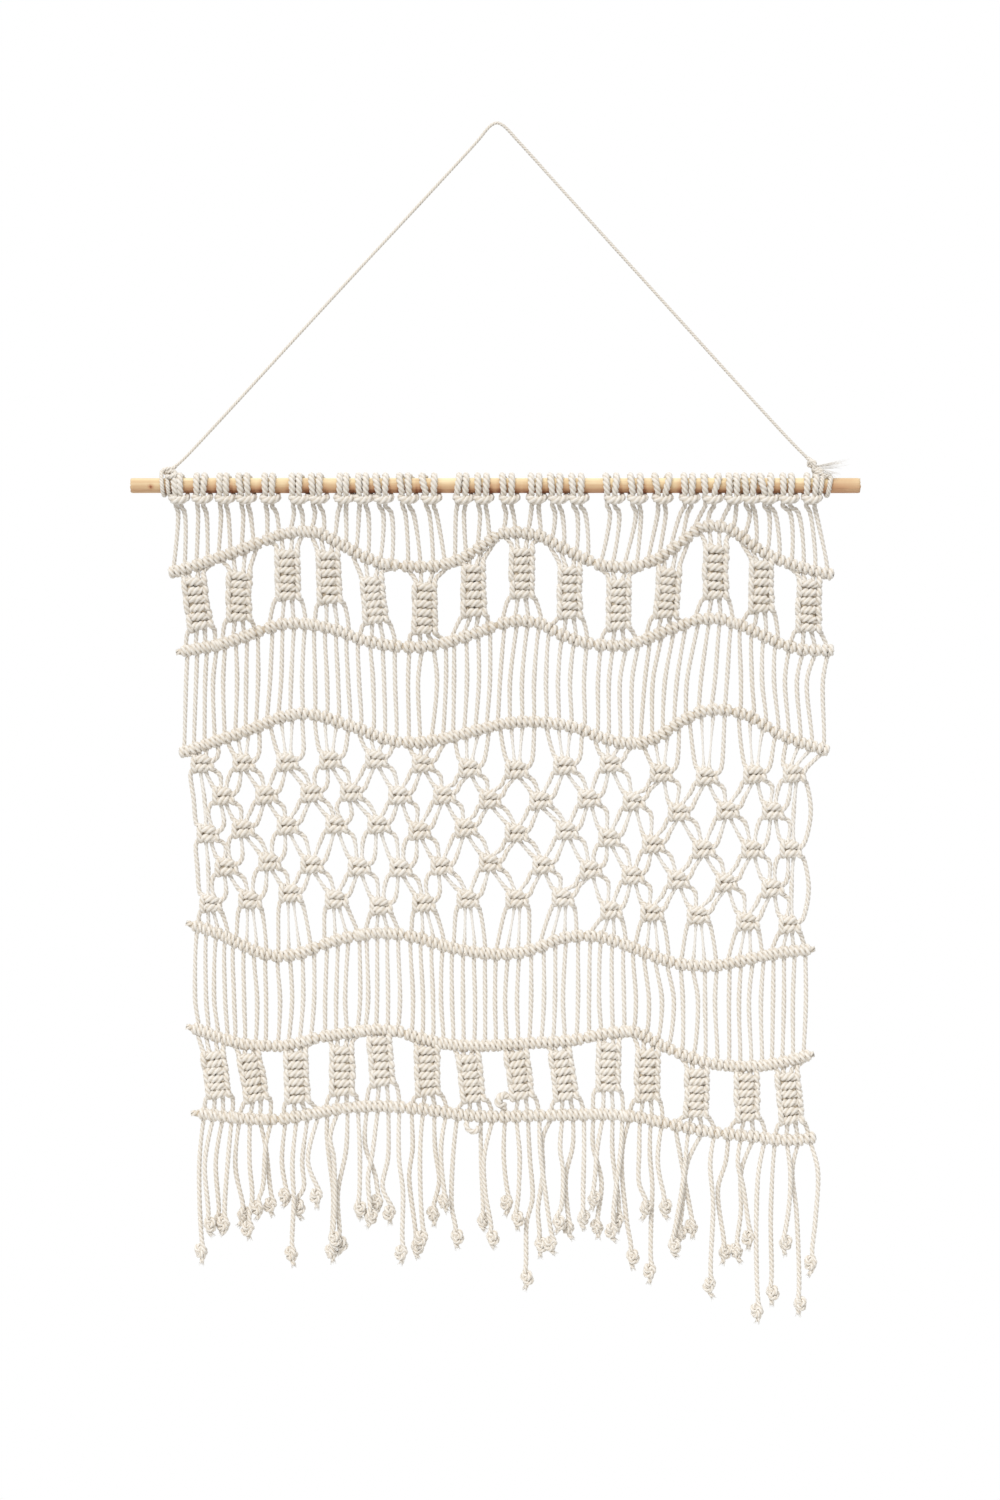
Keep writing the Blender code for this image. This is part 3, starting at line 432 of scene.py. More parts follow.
# A double half hitch winds a cord more than twice round the bar. Keys: the angle from the bar's top
# towards its back, in degrees, the place along the bar in half spaces, the part of the radius.
HITCH_RADIUS = 0.0027
HITCH_POINTS = 20
HITCH_SPREAD = 1.26
# How tightly a hitch is pulled, and its shift along the bar, in half spaces.
HITCH_PULL = (0.95, 1.06)
HITCH_SHIFT = 0.06
HitchKey = namedtuple("HitchKey", "angle side radius")
HITCH_KEYS = (
    HitchKey(40, -0.15, 1.25),
    HitchKey(90, -0.55, 1.05),
    HitchKey(180, -1.00, 1.00),
    HitchKey(360, -1.00, 1.00),
    HitchKey(450, 0.00, 1.45),
    HitchKey(540, 1.00, 1.00),
    HitchKey(720, 1.00, 1.00),
    HitchKey(810, 0.50, 1.10),
    HitchKey(860, 0.15, 1.25),
)
# Where the open cords hang, behind the middle of the bars, and how much that changes.
BEHIND = 0.0012
SWAY = 0.0004
# The cord inside a bar: how wide it spreads there and at its tips, and how much painted shade
# darkens its front, for the dark gaps between the hitches.
HOLDING_POINTS = 64
HOLDING_STEP = 0.0028
HOLDING_SPREAD = 1.55
HOLDING_TIP_SPREAD = 1.25
HOLDING_SHADE = 1.2

# A square knot is two bands. Across is in half widths, out in metres and up in bands.
NET_BAND = 0.0066
# How a filler spreads inside a knot, and how much painted shade darkens its front there, for the
# knot's creases, by how far through it is.
FILLER_STOPS = ((0.0, 1.10, 0.0), (0.08, 1.75, 1.5), (0.92, 1.75, 1.5), (1.0, 1.10, 0.0))
# The cord that crosses in front twice, from the left and back to it.
CROSSING_STOPS = (
    Stop(-0.90, -0.0014, 0.98, 1.10),
    Stop(-0.82, -0.0018, 0.72, 1.20),
    Stop(-0.45, -0.0036, 0.51, 1.70),
    Stop(0.00, -0.0040, 0.55, 1.86),
    Stop(0.45, -0.0036, 0.50, 1.70),
    Stop(0.78, -0.0014, 0.34, 1.20),
    Stop(0.90, 0.0010, 0.02, 1.00),
    Stop(0.78, -0.0010, -0.30, 1.20),
    Stop(0.45, -0.0034, -0.46, 1.70),
    Stop(0.00, -0.0040, -0.50, 1.86),
    Stop(-0.45, -0.0036, -0.53, 1.70),
    Stop(-0.82, -0.0018, -0.76, 1.20),
)
# The cord that crosses behind twice and stands over the left side between. In a sinnet it comes down
# the right side first.
LOCKING_START = (
    Stop(0.93, -0.0026, 0.98, 1.20),
    Stop(0.95, -0.0038, 0.62, 1.32),
)
LOCKING_STOPS = (
    Stop(0.95, -0.0028, 0.24, 1.22),
    Stop(0.84, 0.0010, 0.10, 1.00),
    Stop(0.50, 0.0034, 0.26, 1.00),
    Stop(0.00, 0.0040, 0.42, 1.00),
    Stop(-0.50, 0.0030, 0.66, 1.00),
    Stop(-0.70, -0.0002, 0.92, 1.05),
    Stop(-0.88, -0.0038, 0.78, 1.22),
    Stop(-0.93, -0.0044, 0.30, 1.26),
    Stop(-0.93, -0.0044, -0.30, 1.26),
    Stop(-0.90, -0.0034, -0.82, 1.22),
    Stop(-0.78, 0.0008, -0.94, 1.05),
    Stop(-0.50, 0.0034, -0.76, 1.00),
    Stop(0.00, 0.0040, -0.55, 1.00),
    Stop(0.50, 0.0032, -0.38, 1.00),
    Stop(0.80, 0.0002, -0.16, 1.10),
    Stop(0.95, -0.0030, -0.28, 1.24),
    Stop(0.95, -0.0036, -0.64, 1.32),
)
# How unevenly the knots are tied: a band's tilt, in bands, and a cord's shift to the side.
KNOT_TILT = 0.13
KNOT_DRIFT = 0.0005
# How wide a cord's way through a knot is, as parts of the knot's own width.
KNOT_WIDTHS = (0.96, 1.06)
# How the outer cords bow as they come to a knot and leave it, in metres out to its side and up from
# its top or its foot. The left cord and the right cord each have their own bows.
Bow = namedtuple("Bow", "across up")
Bows = namedtuple("Bows", "left_in left_out right_in right_out")
KnotKind = namedtuple("KnotKind", "knots half_width filler_place locking bows")
SINNET_KIND = KnotKind(3, 0.0089, 0.0034, LOCKING_START + LOCKING_STOPS, Bows(
    left_in=(Bow(0.0092, 0.0042),),
    left_out=(Bow(0.0112, -0.0008),),
    right_in=(Bow(0.0092, 0.0042),),
    right_out=(Bow(0.0114, -0.0008),),
))
NET_KIND = KnotKind(1, 0.0077, 0.0022, LOCKING_STOPS, Bows(
    left_in=(Bow(0.0088, 0.0014),),
    left_out=(Bow(0.0098, 0.0006), Bow(0.0129, -0.0063)),
    right_in=(Bow(0.0129, 0.0024), Bow(0.0110, -0.0024)),
    right_out=(Bow(0.0100, 0.0006), Bow(0.0143, -0.0033)),
))
# The net's last row goes straight on to the bar below.
LAST_NET_KIND = NET_KIND._replace(bows=NET_KIND.bows._replace(
    left_out=(Bow(0.0094, -0.0020),),
    right_out=(Bow(0.0098, -0.0020),),
))
# The outermost cords bow out from knot to knot at the net's edges.
EDGE_BOWS = Bows(
    left_in=(Bow(0.0098, 0.0010),),
    left_out=(Bow(0.0102, -0.0006),),
    right_in=(Bow(0.0114, -0.0010),),
    right_out=(Bow(0.0104, -0.0006),),
)
# How far those cords stand out halfway between two knots, and the cords beside them.
LEFT_EDGE_REACH = 0.0102
RIGHT_EDGE_REACH = 0.0156
SECOND_REACH = 0.0012

# The fringe's cords hang before and behind the last bar by turns.
STRAND_STAGGER = 0.0032
# An end knot is a trefoil, opened by an angle at one side and shifted under its cord. Its two radii
# are in rope widths, and its ends lead up and down, (across, out, up).
TIP_MAJOR = 0.68
TIP_MINOR = 0.45
TIP_OPENING = 0.55
TIP_POINTS = 15
TIP_SHIFT = 0.0010
TIP_REACH = 0.0064
TIP_START = ((0.0012, -0.0008, TIP_REACH), (0.0026, -0.0016, 0.5 * TIP_REACH), (0.0034, -0.0018, 0.0002))
TIP_FINISH = ((0.0034, 0.0018, -0.0002), (0.0024, 0.0014, -0.5 * TIP_REACH), (0.0010, 0.0006, -TIP_REACH))
# How far an end knot is turned either way, and how its tail swings and how short it may be.
TIP_TURN = 0.7
TAIL_LENGTH = 0.0042
TAIL_SWING = 0.003
SHORTEST_TAIL = 0.4

# Frayed fibres at a rope's end.
Tuft = namedtuple("Tuft", "length hairs spread")
TAIL_TUFT = Tuft(TAIL_LENGTH, 22, 0.5)
RIGHT_END_TUFT = Tuft(0.027, 26, 0.20)
RIGHT_TAIL_TUFT = Tuft(0.016, 24, 0.30)
HAIR_RADIUS = 0.00019
HAIR_STEP = HAIR_RADIUS * 8
HAIR_SIDES = 3
HAIR_TAPER = 0.75
HAIR_WAVE = 0.05
HAIR_BEND = 0.3
# The shortest hair and the one that spreads least, as parts of the others.
SHORTEST_HAIR = 0.55
LEAST_SPREAD = 0.2
# A hair is paler than its rope, and starts this far inside it and within this part of its radius.
HAIR_GROOVE = -0.6
HAIR_ROOT = 0.0015
HAIR_ROOM = 0.75
LEAST_OFFSET = 0.4

# The first column's seed, which goes up by one from column to column, and the other pieces' seeds.
COLUMN_SEED = 8
HOLDING_SEED = 108
TIE_SEED = 209
ROD_SEED = 308

COTTON = (0.815, 0.778, 0.722)
# Painted shade: the colour that the grooves and creases are darkened towards.
COTTON_PAINTED_SHADE = (0.58, 0.49, 0.37)
# The wood's colours, from the palest to the darkest. Painted light makes the rod's top palest, and
# painted shade at its foot and beside the heads, and its knot, make the darkest.
WoodTone = namedtuple("WoodTone", "at colour")
WOOD_TONES = (
    WoodTone(0.0, (0.86, 0.73, 0.46)),
    WoodTone(0.35, (0.66, 0.47, 0.27)),
    WoodTone(0.65, (0.57, 0.33, 0.18)),
    WoodTone(1.0, (0.30, 0.11, 0.05)),
)
# How much each thing darkens the cotton or the wood, and where the sum of them starts.
COTTON_START = -0.12
# The grooves' share is painted shade in the grooves and creases.
PAINTED_SHADE_SHARE = 0.55
STREAK_SHARE = 0.22
SLOW_SHARE = 0.22
TINT_SHARE = 0.12
WOOD_START = -0.6
GRAIN_SHARE = 0.7
PATCH_SHARE = 0.5
# Their patterns and surfaces, by the names of the shader's inputs.
STREAKS = {"Scale": 2600.0, "Detail": 3.0}
SLOW_TONE = {"Scale": 28.0, "Detail": 3.0}
GRAIN = {"Scale": 1.0, "Detail": 6.0, "Roughness": 0.65}
GRAIN_STRETCH = (9.0, 330.0, 330.0)
PATCHES = {"Scale": 42.0, "Detail": 2.0}
COTTON_SURFACE = {
    "Roughness": 0.92, "Specular IOR Level": 0.2, "Sheen Weight": 0.25, "Sheen Roughness": 0.5,
}
WOOD_SURFACE = {"Roughness": 0.62, "Specular IOR Level": 0.35}
BUMP_HEIGHT = 0.0003
COTTON_BUMP = 0.5
WOOD_BUMP = 0.25

# Painted shade lies in the corners this far from a head's middle, on the rod's lower half, and
# reaches this far along the rod. Its strength changes after every few rings.
HEAD_REACH = 0.0064
CORNER_SHADE_REACH = 0.0028
CORNER_SHADE_SHARE = 0.5
CORNER_SHADE_RINGS = 3
# A small knot in the wood near the left end: its x and z, its reach and its share of the tone.
WOOD_KNOT = (-0.2892, -0.3034)
WOOD_KNOT_REACH = 0.0017
WOOD_KNOT_SHARE = 0.8
# The wood's tone at the rod's front, and how much it changes to its top and its foot: painted light
# on its top and painted shade at its foot. Left of the cords that painted change is smaller.
RodTone = namedtuple("RodTone", "middle change")
MAIN_TONE = RodTone(0.37, 0.36)
LEFT_END_START = -0.2700
LEFT_END_TONE = RodTone(0.34, 0.14)
RIGHT_END_START = 0.2780
RIGHT_END_TONE = RodTone(0.52, 0.22)
# How uneven the rod is: waves along it, flats round it, and its sawn ends.
ROD_SIDES = 32
ROD_RINGS = 360
LONG_WAVE = 31.0
SHORT_WAVE = 83.0
WAVE_SHARE = 0.008
FLATS = 5
FLAT_SHARE = 0.006
END_ROUGHNESS = 0.0004
END_WIDTH = 0.93


# ---- Where things are ---------------------------------------------------------------------------


def cord_places(entry):
    """The X of the 56 cords where they cross a level: four about the middle of each column."""
    middles = [getattr(column, entry) for column in COLUMNS]
    places = []
    for i, middle in enumerate(middles):
        before = middles[max(i - 1, 0)]
        after = middles[min(i + 1, len(middles) - 1)]
        columns_between = 2 if 0 < i < len(middles) - 1 else 1
        pitch = (after - before) / (4 * columns_between)
        places += [middle + (k - 1.5) * pitch for k in range(4)]
    return places


def bar_height(bar, x):
    """The Z of a bar's middle line."""
    places, heights = zip(*bar.line)
    return float(np.interp(x, places, heights))


# ---- Rope ---------------------------------------------------------------------------------------


def bend_radii(line):
    """The radius of a line's bend at each of its points."""
    tangent = np.gradient(line, axis=0)
    length = np.linalg.norm(tangent, axis=1)
    turn = np.gradient(tangent / length[:, None], axis=0)
    return length / np.maximum(np.linalg.norm(turn, axis=1), 1e-6)


def smooth_line(points, step):
    """A centripetal Catmull-Rom curve through the points, in steps of at most one, closer in bends."""
    points = np.asarray(points, float)
    ends = np.vstack([2 * points[0] - points[1], points, 2 * points[-1] - points[-2]])
    gaps = np.sqrt(np.linalg.norm(np.diff(ends[:, :3], axis=0), axis=1))[:, None]
    p0, p1, p2, p3 = ends[:-3], ends[1:-2], ends[2:-1], ends[3:]
    before, here, after = gaps[:-2], gaps[1:-1], gaps[2:]
    leave = (p2 - p1) + here * ((p1 - p0) / before - (p2 - p0) / (before + here))
    arrive = (p2 - p1) + here * ((p3 - p2) / after - (p3 - p1) / (here + after))
    t = np.linspace(0.0, 1.0, CURVE_SAMPLES, endpoint=False)[None, :, None]
    dense = (
        (2 * t**3 - 3 * t**2 + 1) * p1[:, None]
        + (t**3 - 2 * t**2 + t) * leave[:, None]
        + (3 * t**2 - 2 * t**3) * p2[:, None]
        + (t**3 - t**2) * arrive[:, None]
    ).reshape(-1, points.shape[1])
    dense = np.vstack([dense, points[-1]])
    pieces = np.linalg.norm(np.diff(dense[:, :3], axis=0), axis=1)
    steps = np.clip(BEND_PART * bend_radii(dense[:, :3]), min(SHORTEST_STEP, step), step)
    along = np.concatenate([[0.0], np.cumsum(pieces / (0.5 * (steps[:-1] + steps[1:])))])
    count = max(int(math.ceil(along[-1])), 2)
    wanted = np.linspace(0.0, along[-1], count + 1)
    return np.column_stack([np.interp(wanted, along, dense[:, k]) for k in range(points.shape[1])])


def carried_frames(line):
    """Two directions across the line at each of its points, turning no more than the line does."""
    tangent = np.gradient(line, axis=0)
    tangent /= np.linalg.norm(tangent, axis=1)[:, None]
    side = np.empty_like(line)
    across = np.cross(tangent[0], (0.0, 1.0, 0.0) if abs(tangent[0][1]) < 0.9 else (1.0, 0.0, 0.0))
    for i, direction in enumerate(tangent):
        across = across - direction * across.dot(direction)
        across /= math.sqrt(across.dot(across))
        side[i] = across
    return side, np.cross(tangent, side)


class RopeMesh:
    """Ropes and fibres of one piece, with what their material needs at each point."""

    def __init__(self):
        self.points = []
        self.quads = []
        self.fans = []
        self.painted_shade = []
        self.fibre = []
        self.tint = []
        self.count = 0

    def add_tube(self, ring, painted_shade, fibre, tint):
        """A closed tube through rings of points."""
        index = self.count + np.arange(len(ring) * ring.shape[1]).reshape(len(ring), -1)
        a = index[:-1]
        b = index[1:]
        self.points.append(ring.reshape(-1, 3))
        self.quads.append(np.stack([a, np.roll(a, -1, 1), np.roll(b, -1, 1), b], axis=-1).reshape(-1, 4))
        self.fans += [index[0][::-1].tolist(), index[-1].tolist()]
        self.painted_shade.append(painted_shade.ravel())
        self.fibre.append(fibre.reshape(-1, 3))
        self.tint.append(np.full(index.size, tint))
        self.count += index.size

    def lay(self, points, tint, radius=ROPE_RADIUS, lay=ROPE_LAY, step=ROPE_STEP, turn=0.0, taper=0.0):
        """One rope along the points, its strands wound to the left. Returns its middle line."""
        line = smooth_line(points, step)
        shaped = line.shape[1] == 5
        spread = line[:, 3] if shaped else np.ones(len(line))
        shade = line[:, 4] if shaped else np.zeros(len(line))
        line = line[:, :3]
        side, up = carried_frames(line)
        outline = np.tile(STRAND_OUTLINE, STRANDS)
        sides = len(outline)
        lengths = np.concatenate([[0.0], np.cumsum(np.linalg.norm(np.diff(line, axis=0), axis=1))])
        angles = turn - 2 * math.pi * lengths[:, None] / lay + 2 * math.pi * np.arange(sides) / sides
        radii = radius * spread
        if taper:
            left = np.clip((lengths[-1] - lengths) / taper, 0.0, 1.0)
            radii *= left**TAPER_POWER * (1.0 - TAPER_END) + TAPER_END
        reach = radii[:, None] * outline
        cosine = np.cos(angles) * reach
        sine = np.sin(angles) * reach
        ring = line[:, None] + cosine[..., None] * side[:, None] + sine[..., None] * up[:, None]
        # Painted shade: the grooves, and the front half where the route gives shade, are darkened in
        # colour.
        front = ring[..., 1] < line[:, None, 1]
        painted_shade = (outline < GROOVE_BELOW) + shade[:, None] * front
        around = angles - angles[:, :1]
        along = np.repeat(lengths[:, None] * FIBRE_STRETCH + FIBRE_SHIFT * tint, sides, 1)
        fibre = np.stack([np.cos(around) * radius, np.sin(around) * radius, along], axis=-1)
        self.add_tube(ring, painted_shade, fibre, tint)
        return line

    def hair(self, points, tint):
        """One loose fibre: a thin tube that is thinner still at its end."""
        line = smooth_line(points, HAIR_STEP)
        side, up = carried_frames(line)
        radii = HAIR_RADIUS * (1.0 - HAIR_TAPER * np.linspace(0.0, 1.0, len(line)) ** 2)
        angles = 2 * math.pi * np.arange(HAIR_SIDES)[:, None] / HAIR_SIDES
        ring = line[:, None] + radii[:, None, None] * (
            np.cos(angles) * side[:, None] + np.sin(angles) * up[:, None])
        self.add_tube(ring, np.full(ring.shape[:2], HAIR_GROOVE), ring, tint)

    def finish(self, name, material):
        """The piece's object, smooth, with its attributes at each point."""
        data = bpy.data.meshes.new(name)
        data.from_pydata(np.vstack(self.points).tolist(), [], np.vstack(self.quads).tolist() + self.fans)
        for attribute, values, kind, key in (
            ("painted_shade", np.concatenate(self.painted_shade), "FLOAT", "value"),
            ("tint", np.concatenate(self.tint), "FLOAT", "value"),
            ("fibre", np.vstack(self.fibre).ravel(), "FLOAT_VECTOR", "vector"),
        ):
            layer = data.attributes.new(attribute, kind, "POINT")
            layer.data.foreach_set(key, values.astype(np.float32))
        data.polygons.foreach_set("use_smooth", np.ones(len(data.polygons), bool))
        data.materials.append(material)
        return new_object(name, data)


def new_object(name, data):
    obj = bpy.data.objects.new(name, data)
    bpy.context.scene.collection.objects.link(obj)
    return obj


# ---- Knots --------------------------------------------------------------------------------------


def point(x, y, z, spread=1.0, shade=0.0):
    """A point of a cord's route, how wide the cord spreads there and how much painted shade darkens its
    front.
    """
    return np.array((x, y, z, spread, shade))


def head_route(x, side, legs):
    """Half of a lark's head on the dowel, from its bight down, to the left (side -1) or right."""
    width = LEFT_BIGHT_WIDTH if side < 0 else 1.0
    foot, top = (legs.left_foot, legs.left_top) if side < 0 else (legs.right_foot, legs.right_top)
    route = [point(x + side * width * s.across, s.out, DOWEL_HEIGHT + s.up, s.spread) for s in BIGHT_STOPS]
    for s in LEG_STOPS:
        across = np.interp(s.up, (LEG_FOOT, LEG_TOP), (foot, top))
        route.append(point(x + across, s.out, DOWEL_HEIGHT + s.up, s.spread))
    return route


def hitch_route(bar, x, pitch, chance):
    """A double half hitch: in from above behind the bar, twice up its front, out below behind it."""
    small = 0.001
    slope = (bar_height(bar, x + small) - bar_height(bar, x - small)) / (2 * small)
    length = math.hypot(1.0, slope)
    along = point(1.0, 0.0, slope, 0.0) / length
    up = point(-slope, 0.0, 1.0, 0.0) / length
    back = point(0.0, 1.0, 0.0, 0.0)
    middle = point(x, 0.0, bar_height(bar, x), HITCH_SPREAD)
    key_angles = [key.angle for key in HITCH_KEYS]
    angles = np.linspace(key_angles[0], key_angles[-1], HITCH_POINTS + 1)
    sides = np.interp(angles, key_angles, [key.side for key in HITCH_KEYS])
    radii = np.interp(angles, key_angles, [key.radius for key in HITCH_KEYS])
    half_space = 0.25 * pitch * length
    tightness = HITCH_RADIUS * chance.uniform(*HITCH_PULL)
    shift = chance.uniform(-HITCH_SHIFT, HITCH_SHIFT)
    route = []
    for angle, side, radius in zip(np.radians(angles), sides, radii):
        reach = radius * tightness
        away = math.cos(angle) * up + math.sin(angle) * back
        route.append(middle + (side + shift) * half_space * along + reach * away)
    route[0][3] = 1.0
    route[-1][3] = 1.0
    return route


def knot_route(place, top, foot, kind, chance):
    """A cord's way through square knots from one point to another, by its place in them, 0 to 3."""
    top = point(*top, 0.0)
    foot = point(*foot, 0.0)
    height = np.linalg.norm(foot - top)
    down = (foot - top) / height
    across = point(-down[2], 0.0, down[0], 0.0)
    out = point(0.0, 1.0, 0.0, 0.0)
    swell = point(0.0, 0.0, 0.0, 1.0)
    darker = point(0.0, 0.0, 0.0, 0.0, 1.0)
    side = -1 if place < 2 else 1
    if place in (1, 2):
        start = top + side * kind.filler_place * across
        # A filler's front gets painted shade inside the knot, for the knot's creases.
        return [
            start + t * height * down + spread * swell + shade * darker
            for t, spread, shade in FILLER_STOPS
        ]
    band = 0.5 * height / kind.knots
    bows_in = kind.bows.left_in if place == 0 else kind.bows.right_in
    bows_out = kind.bows.left_out if place == 0 else kind.bows.right_out
    route = [top + side * bow.across * across - bow.up * down + swell for bow in bows_in]
    for i in range(kind.knots):
        middle = top + (2 * i + 1) * band * down + chance.uniform(-KNOT_DRIFT, KNOT_DRIFT) * across
        tilt = chance.uniform(-KNOT_TILT, KNOT_TILT)
        loose = chance.uniform(*KNOT_WIDTHS)
        for stop in CROSSING_STOPS if place == 0 else kind.locking:
            up = stop.up + tilt * stop.across
            route.append(middle + stop.across * loose * kind.half_width * across + stop.out * out
                         - up * band * down + stop.spread * swell)
    return route + [foot + side * bow.across * across - bow.up * down + swell for bow in bows_out]


def end_knot_route(x, y, z, hand, turn):
    """An overhand knot about a point: a trefoil opened at one side, its ends leading up and down."""
    major = TIP_MAJOR * 2 * ROPE_RADIUS
    minor = TIP_MINOR * 2 * ROPE_RADIUS
    local = list(TIP_START)
    for t in np.linspace(2 * math.pi - TIP_OPENING, TIP_OPENING, TIP_POINTS):
        reach = major + minor * math.cos(3 * t)
        local.append((reach * math.cos(2 * t), -minor * math.sin(3 * t), reach * math.sin(2 * t)))
    local += TIP_FINISH
    route = []
    for across, out, up in local:
        across = hand * (across - TIP_SHIFT)
        route.append(point(x + across * math.cos(turn) - out * math.sin(turn),
                           y + across * math.sin(turn) + out * math.cos(turn), z + up))
    return route


# ---- One cord from its head to its tip ----------------------------------------------------------


def net_knots_of(number):
    """The knots of the net that a cord goes through: (middle, place in the knot)."""
    found = []
    for i, row in enumerate(NET_KNOTS):
        shift = 0 if i % 2 == 0 else 2
        if shift <= number < CORDS - shift:
            found.append((row[(number - shift) // 4], (number - shift) % 4))
    return found


def net_route(number, chance):
    """A cord's way through the net. Those at its edges stand out between their knots."""
    side = -1 if number < 2 else 1
    edge = number < 2 or number >= CORDS - 2
    outermost = number in (0, CORDS - 1)
    reach = SECOND_REACH
    if outermost:
        reach = LEFT_EDGE_REACH if side < 0 else RIGHT_EDGE_REACH
    route = []
    knots = net_knots_of(number)
    for i, ((x, z), place) in enumerate(knots):
        last = i + 1 == len(knots)
        kind = LAST_NET_KIND if last else NET_KIND
        if outermost and not last:
            kind = kind._replace(bows=EDGE_BOWS)
        route += knot_route(place, (x, 0.0, z + NET_BAND), (x, 0.0, z - NET_BAND), kind, chance)
        if edge and not last:
            (x_next, z_next), _ = knots[i + 1]
            route.append(point(0.5 * (x + x_next) + side * reach, 0.0, 0.5 * (z + z_next)))
    return route


def cord_route(number, places, chance):
    """A cord from the middle of its head's bight to where it leaves the last bar."""
    column = COLUMNS[number // 4]
    place = number % 4
    head = column.head_a if place < 2 else column.head_b
    route = head_route(head, -1 if number % 2 == 0 else 1, HEAD_LEGS[number // 2])

    def hitch(i):
        spots = places[BARS[i].places]
        x = spots[number]
        pitch = spots[number + 1] - x if number + 1 < CORDS else x - spots[number - 1]
        route.extend(hitch_route(BARS[i], x, pitch, chance))

    def hang(level):
        sway = chance.uniform(-SWAY, SWAY)
        route.append(point(level.xs[number], BEHIND + sway, level.z))

    def sinnet(row):
        found = SINNETS[row][number // 4]
        top = (found.x_top, 0.0, found.z_top)
        foot = (found.x_foot, 0.0, found.z_foot)
        route.extend(knot_route(place, top, foot, SINNET_KIND, chance))

    hang(BELOW_HEADS)
    hitch(0)
    sinnet(0)
    hitch(1)
    hang(UPPER_STRANDS)
    hitch(2)
    route.extend(net_route(number, chance))
    hitch(3)
    hang(LOWER_STRANDS)
    hitch(4)
    sinnet(1)
    if number == LOOSE_CORD:
        route[-1:] = [point(*place, LOOSE_SPREAD) for place in LOOSE_LOOP]
    hitch(5)
    return route


def fringe_route(number, chance):
    """Below the last bar: the bends, the end knot and a tail. Returns the points and the tail."""
    bends = FRINGE[number]
    if not bends:
        return [point(*place, HOOK_SPREAD) for place in HOOK], None
    y = -STRAND_STAGGER if number % 2 else STRAND_STAGGER
    route = [point(x, y, z) for x, z in bends[:-1]]
    tip_x, tip_z = bends[-1]
    hand = chance.choice((-1, 1))
    route += end_knot_route(tip_x, y, tip_z, hand, chance.uniform(-TIP_TURN, TIP_TURN))
    last = route[-1]
    swing = chance.uniform(-TAIL_SWING, TAIL_SWING)
    end = last + point(swing, 0.0, -TAIL_LENGTH * chance.uniform(SHORTEST_TAIL, 1.0), 0.0)
    route += [0.5 * (last + end), end]
    return route, (route[-2][:3], end[:3])


def tuft(mesh, tail, radius, kind, tint, chance):
    """Frayed fibres that go on from a rope's end."""
    before = np.array(tail[0])
    end = np.array(tail[1])
    direction = end - before
    direction /= np.linalg.norm(direction)
    for _ in range(kind.hairs):
        offset = np.array([chance.uniform(-1, 1) for _ in range(3)])
        offset -= direction * offset.dot(direction)
        offset *= HAIR_ROOM * radius / max(np.linalg.norm(offset), LEAST_OFFSET)
        reach = kind.length * chance.uniform(SHORTEST_HAIR, 1.0)
        out = offset / radius * kind.spread * reach * chance.uniform(LEAST_SPREAD, 1.0)
        start = end + offset - HAIR_ROOT * direction
        wave = np.array([chance.uniform(-1, 1) for _ in range(3)]) * HAIR_WAVE * reach
        middle = start + 0.5 * reach * direction + HAIR_BEND * out + wave
        mesh.hair([start, middle, start + reach * direction + out - wave], tint)


# ---- Materials ----------------------------------------------------------------------------------


def new_material(name):
    material = bpy.data.materials.new(name)
    material.use_nodes = True
    nodes = material.node_tree.nodes
    return material, nodes, material.node_tree.links, nodes["Principled BSDF"]


def set_inputs(node, values):
    for name, value in values.items():
        node.inputs[name].default_value = value


def attribute_node(nodes, name):
    node = nodes.new("ShaderNodeAttribute")
    node.attribute_name = name
    return node


def noise_node(nodes, links, vector, values):
    node = nodes.new("ShaderNodeTexNoise")
    set_inputs(node, values)
    links.new(vector, node.inputs["Vector"])
    return node


def math_node(nodes, links, operation, first, second):
    node = nodes.new("ShaderNodeMath")
    node.operation = operation
    for socket, value in zip(node.inputs, (first, second)):
        if isinstance(value, (int, float)):
            socket.default_value = value
        else:
            links.new(value, socket)
    return node.outputs[0]


def shares_added(nodes, links, start, shares):
    """The sum of outputs, each with its share, and of a number to start from."""
    parts = [math_node(nodes, links, "MULTIPLY", output, share) for output, share in shares]
    total = parts[0]
    for part in parts[1:]:
        total = math_node(nodes, links, "ADD", total, part)
    return math_node(nodes, links, "ADD", total, start)


def add_bump(nodes, links, shader, height, strength):
    bump = nodes.new("ShaderNodeBump")
    set_inputs(bump, {"Strength": strength, "Distance": BUMP_HEIGHT})
    links.new(height, bump.inputs["Height"])
    links.new(bump.outputs["Normal"], shader.inputs["Normal"])


def cotton(name):
    """Cream cotton rope: painted shade in the grooves and creases, fine fibres along the strands and slow
    changes of tone.
    """
    material, nodes, links, shader = new_material(name)
    place = nodes.new("ShaderNodeTexCoord").outputs["Object"]
    fibre = attribute_node(nodes, "fibre").outputs["Vector"]
    streaks = noise_node(nodes, links, fibre, STREAKS).outputs["Fac"]
    tone = noise_node(nodes, links, place, SLOW_TONE).outputs["Fac"]
    colour = nodes.new("ShaderNodeMix")
    colour.data_type = "RGBA"
    colour.inputs["A"].default_value = (*COTTON, 1.0)
    # The colour of the painted shade in the grooves and creases.
    colour.inputs["B"].default_value = (*COTTON_PAINTED_SHADE, 1.0)
    shade = shares_added(nodes, links, COTTON_START, (
        (attribute_node(nodes, "painted_shade").outputs["Fac"], PAINTED_SHADE_SHARE),
        (streaks, STREAK_SHARE),
        (tone, SLOW_SHARE),
        (attribute_node(nodes, "tint").outputs["Fac"], TINT_SHARE),
    ))
    links.new(shade, colour.inputs["Factor"])
    links.new(colour.outputs["Result"], shader.inputs["Base Color"])
    add_bump(nodes, links, shader, streaks, COTTON_BUMP)
    set_inputs(shader, COTTON_SURFACE)
    return material


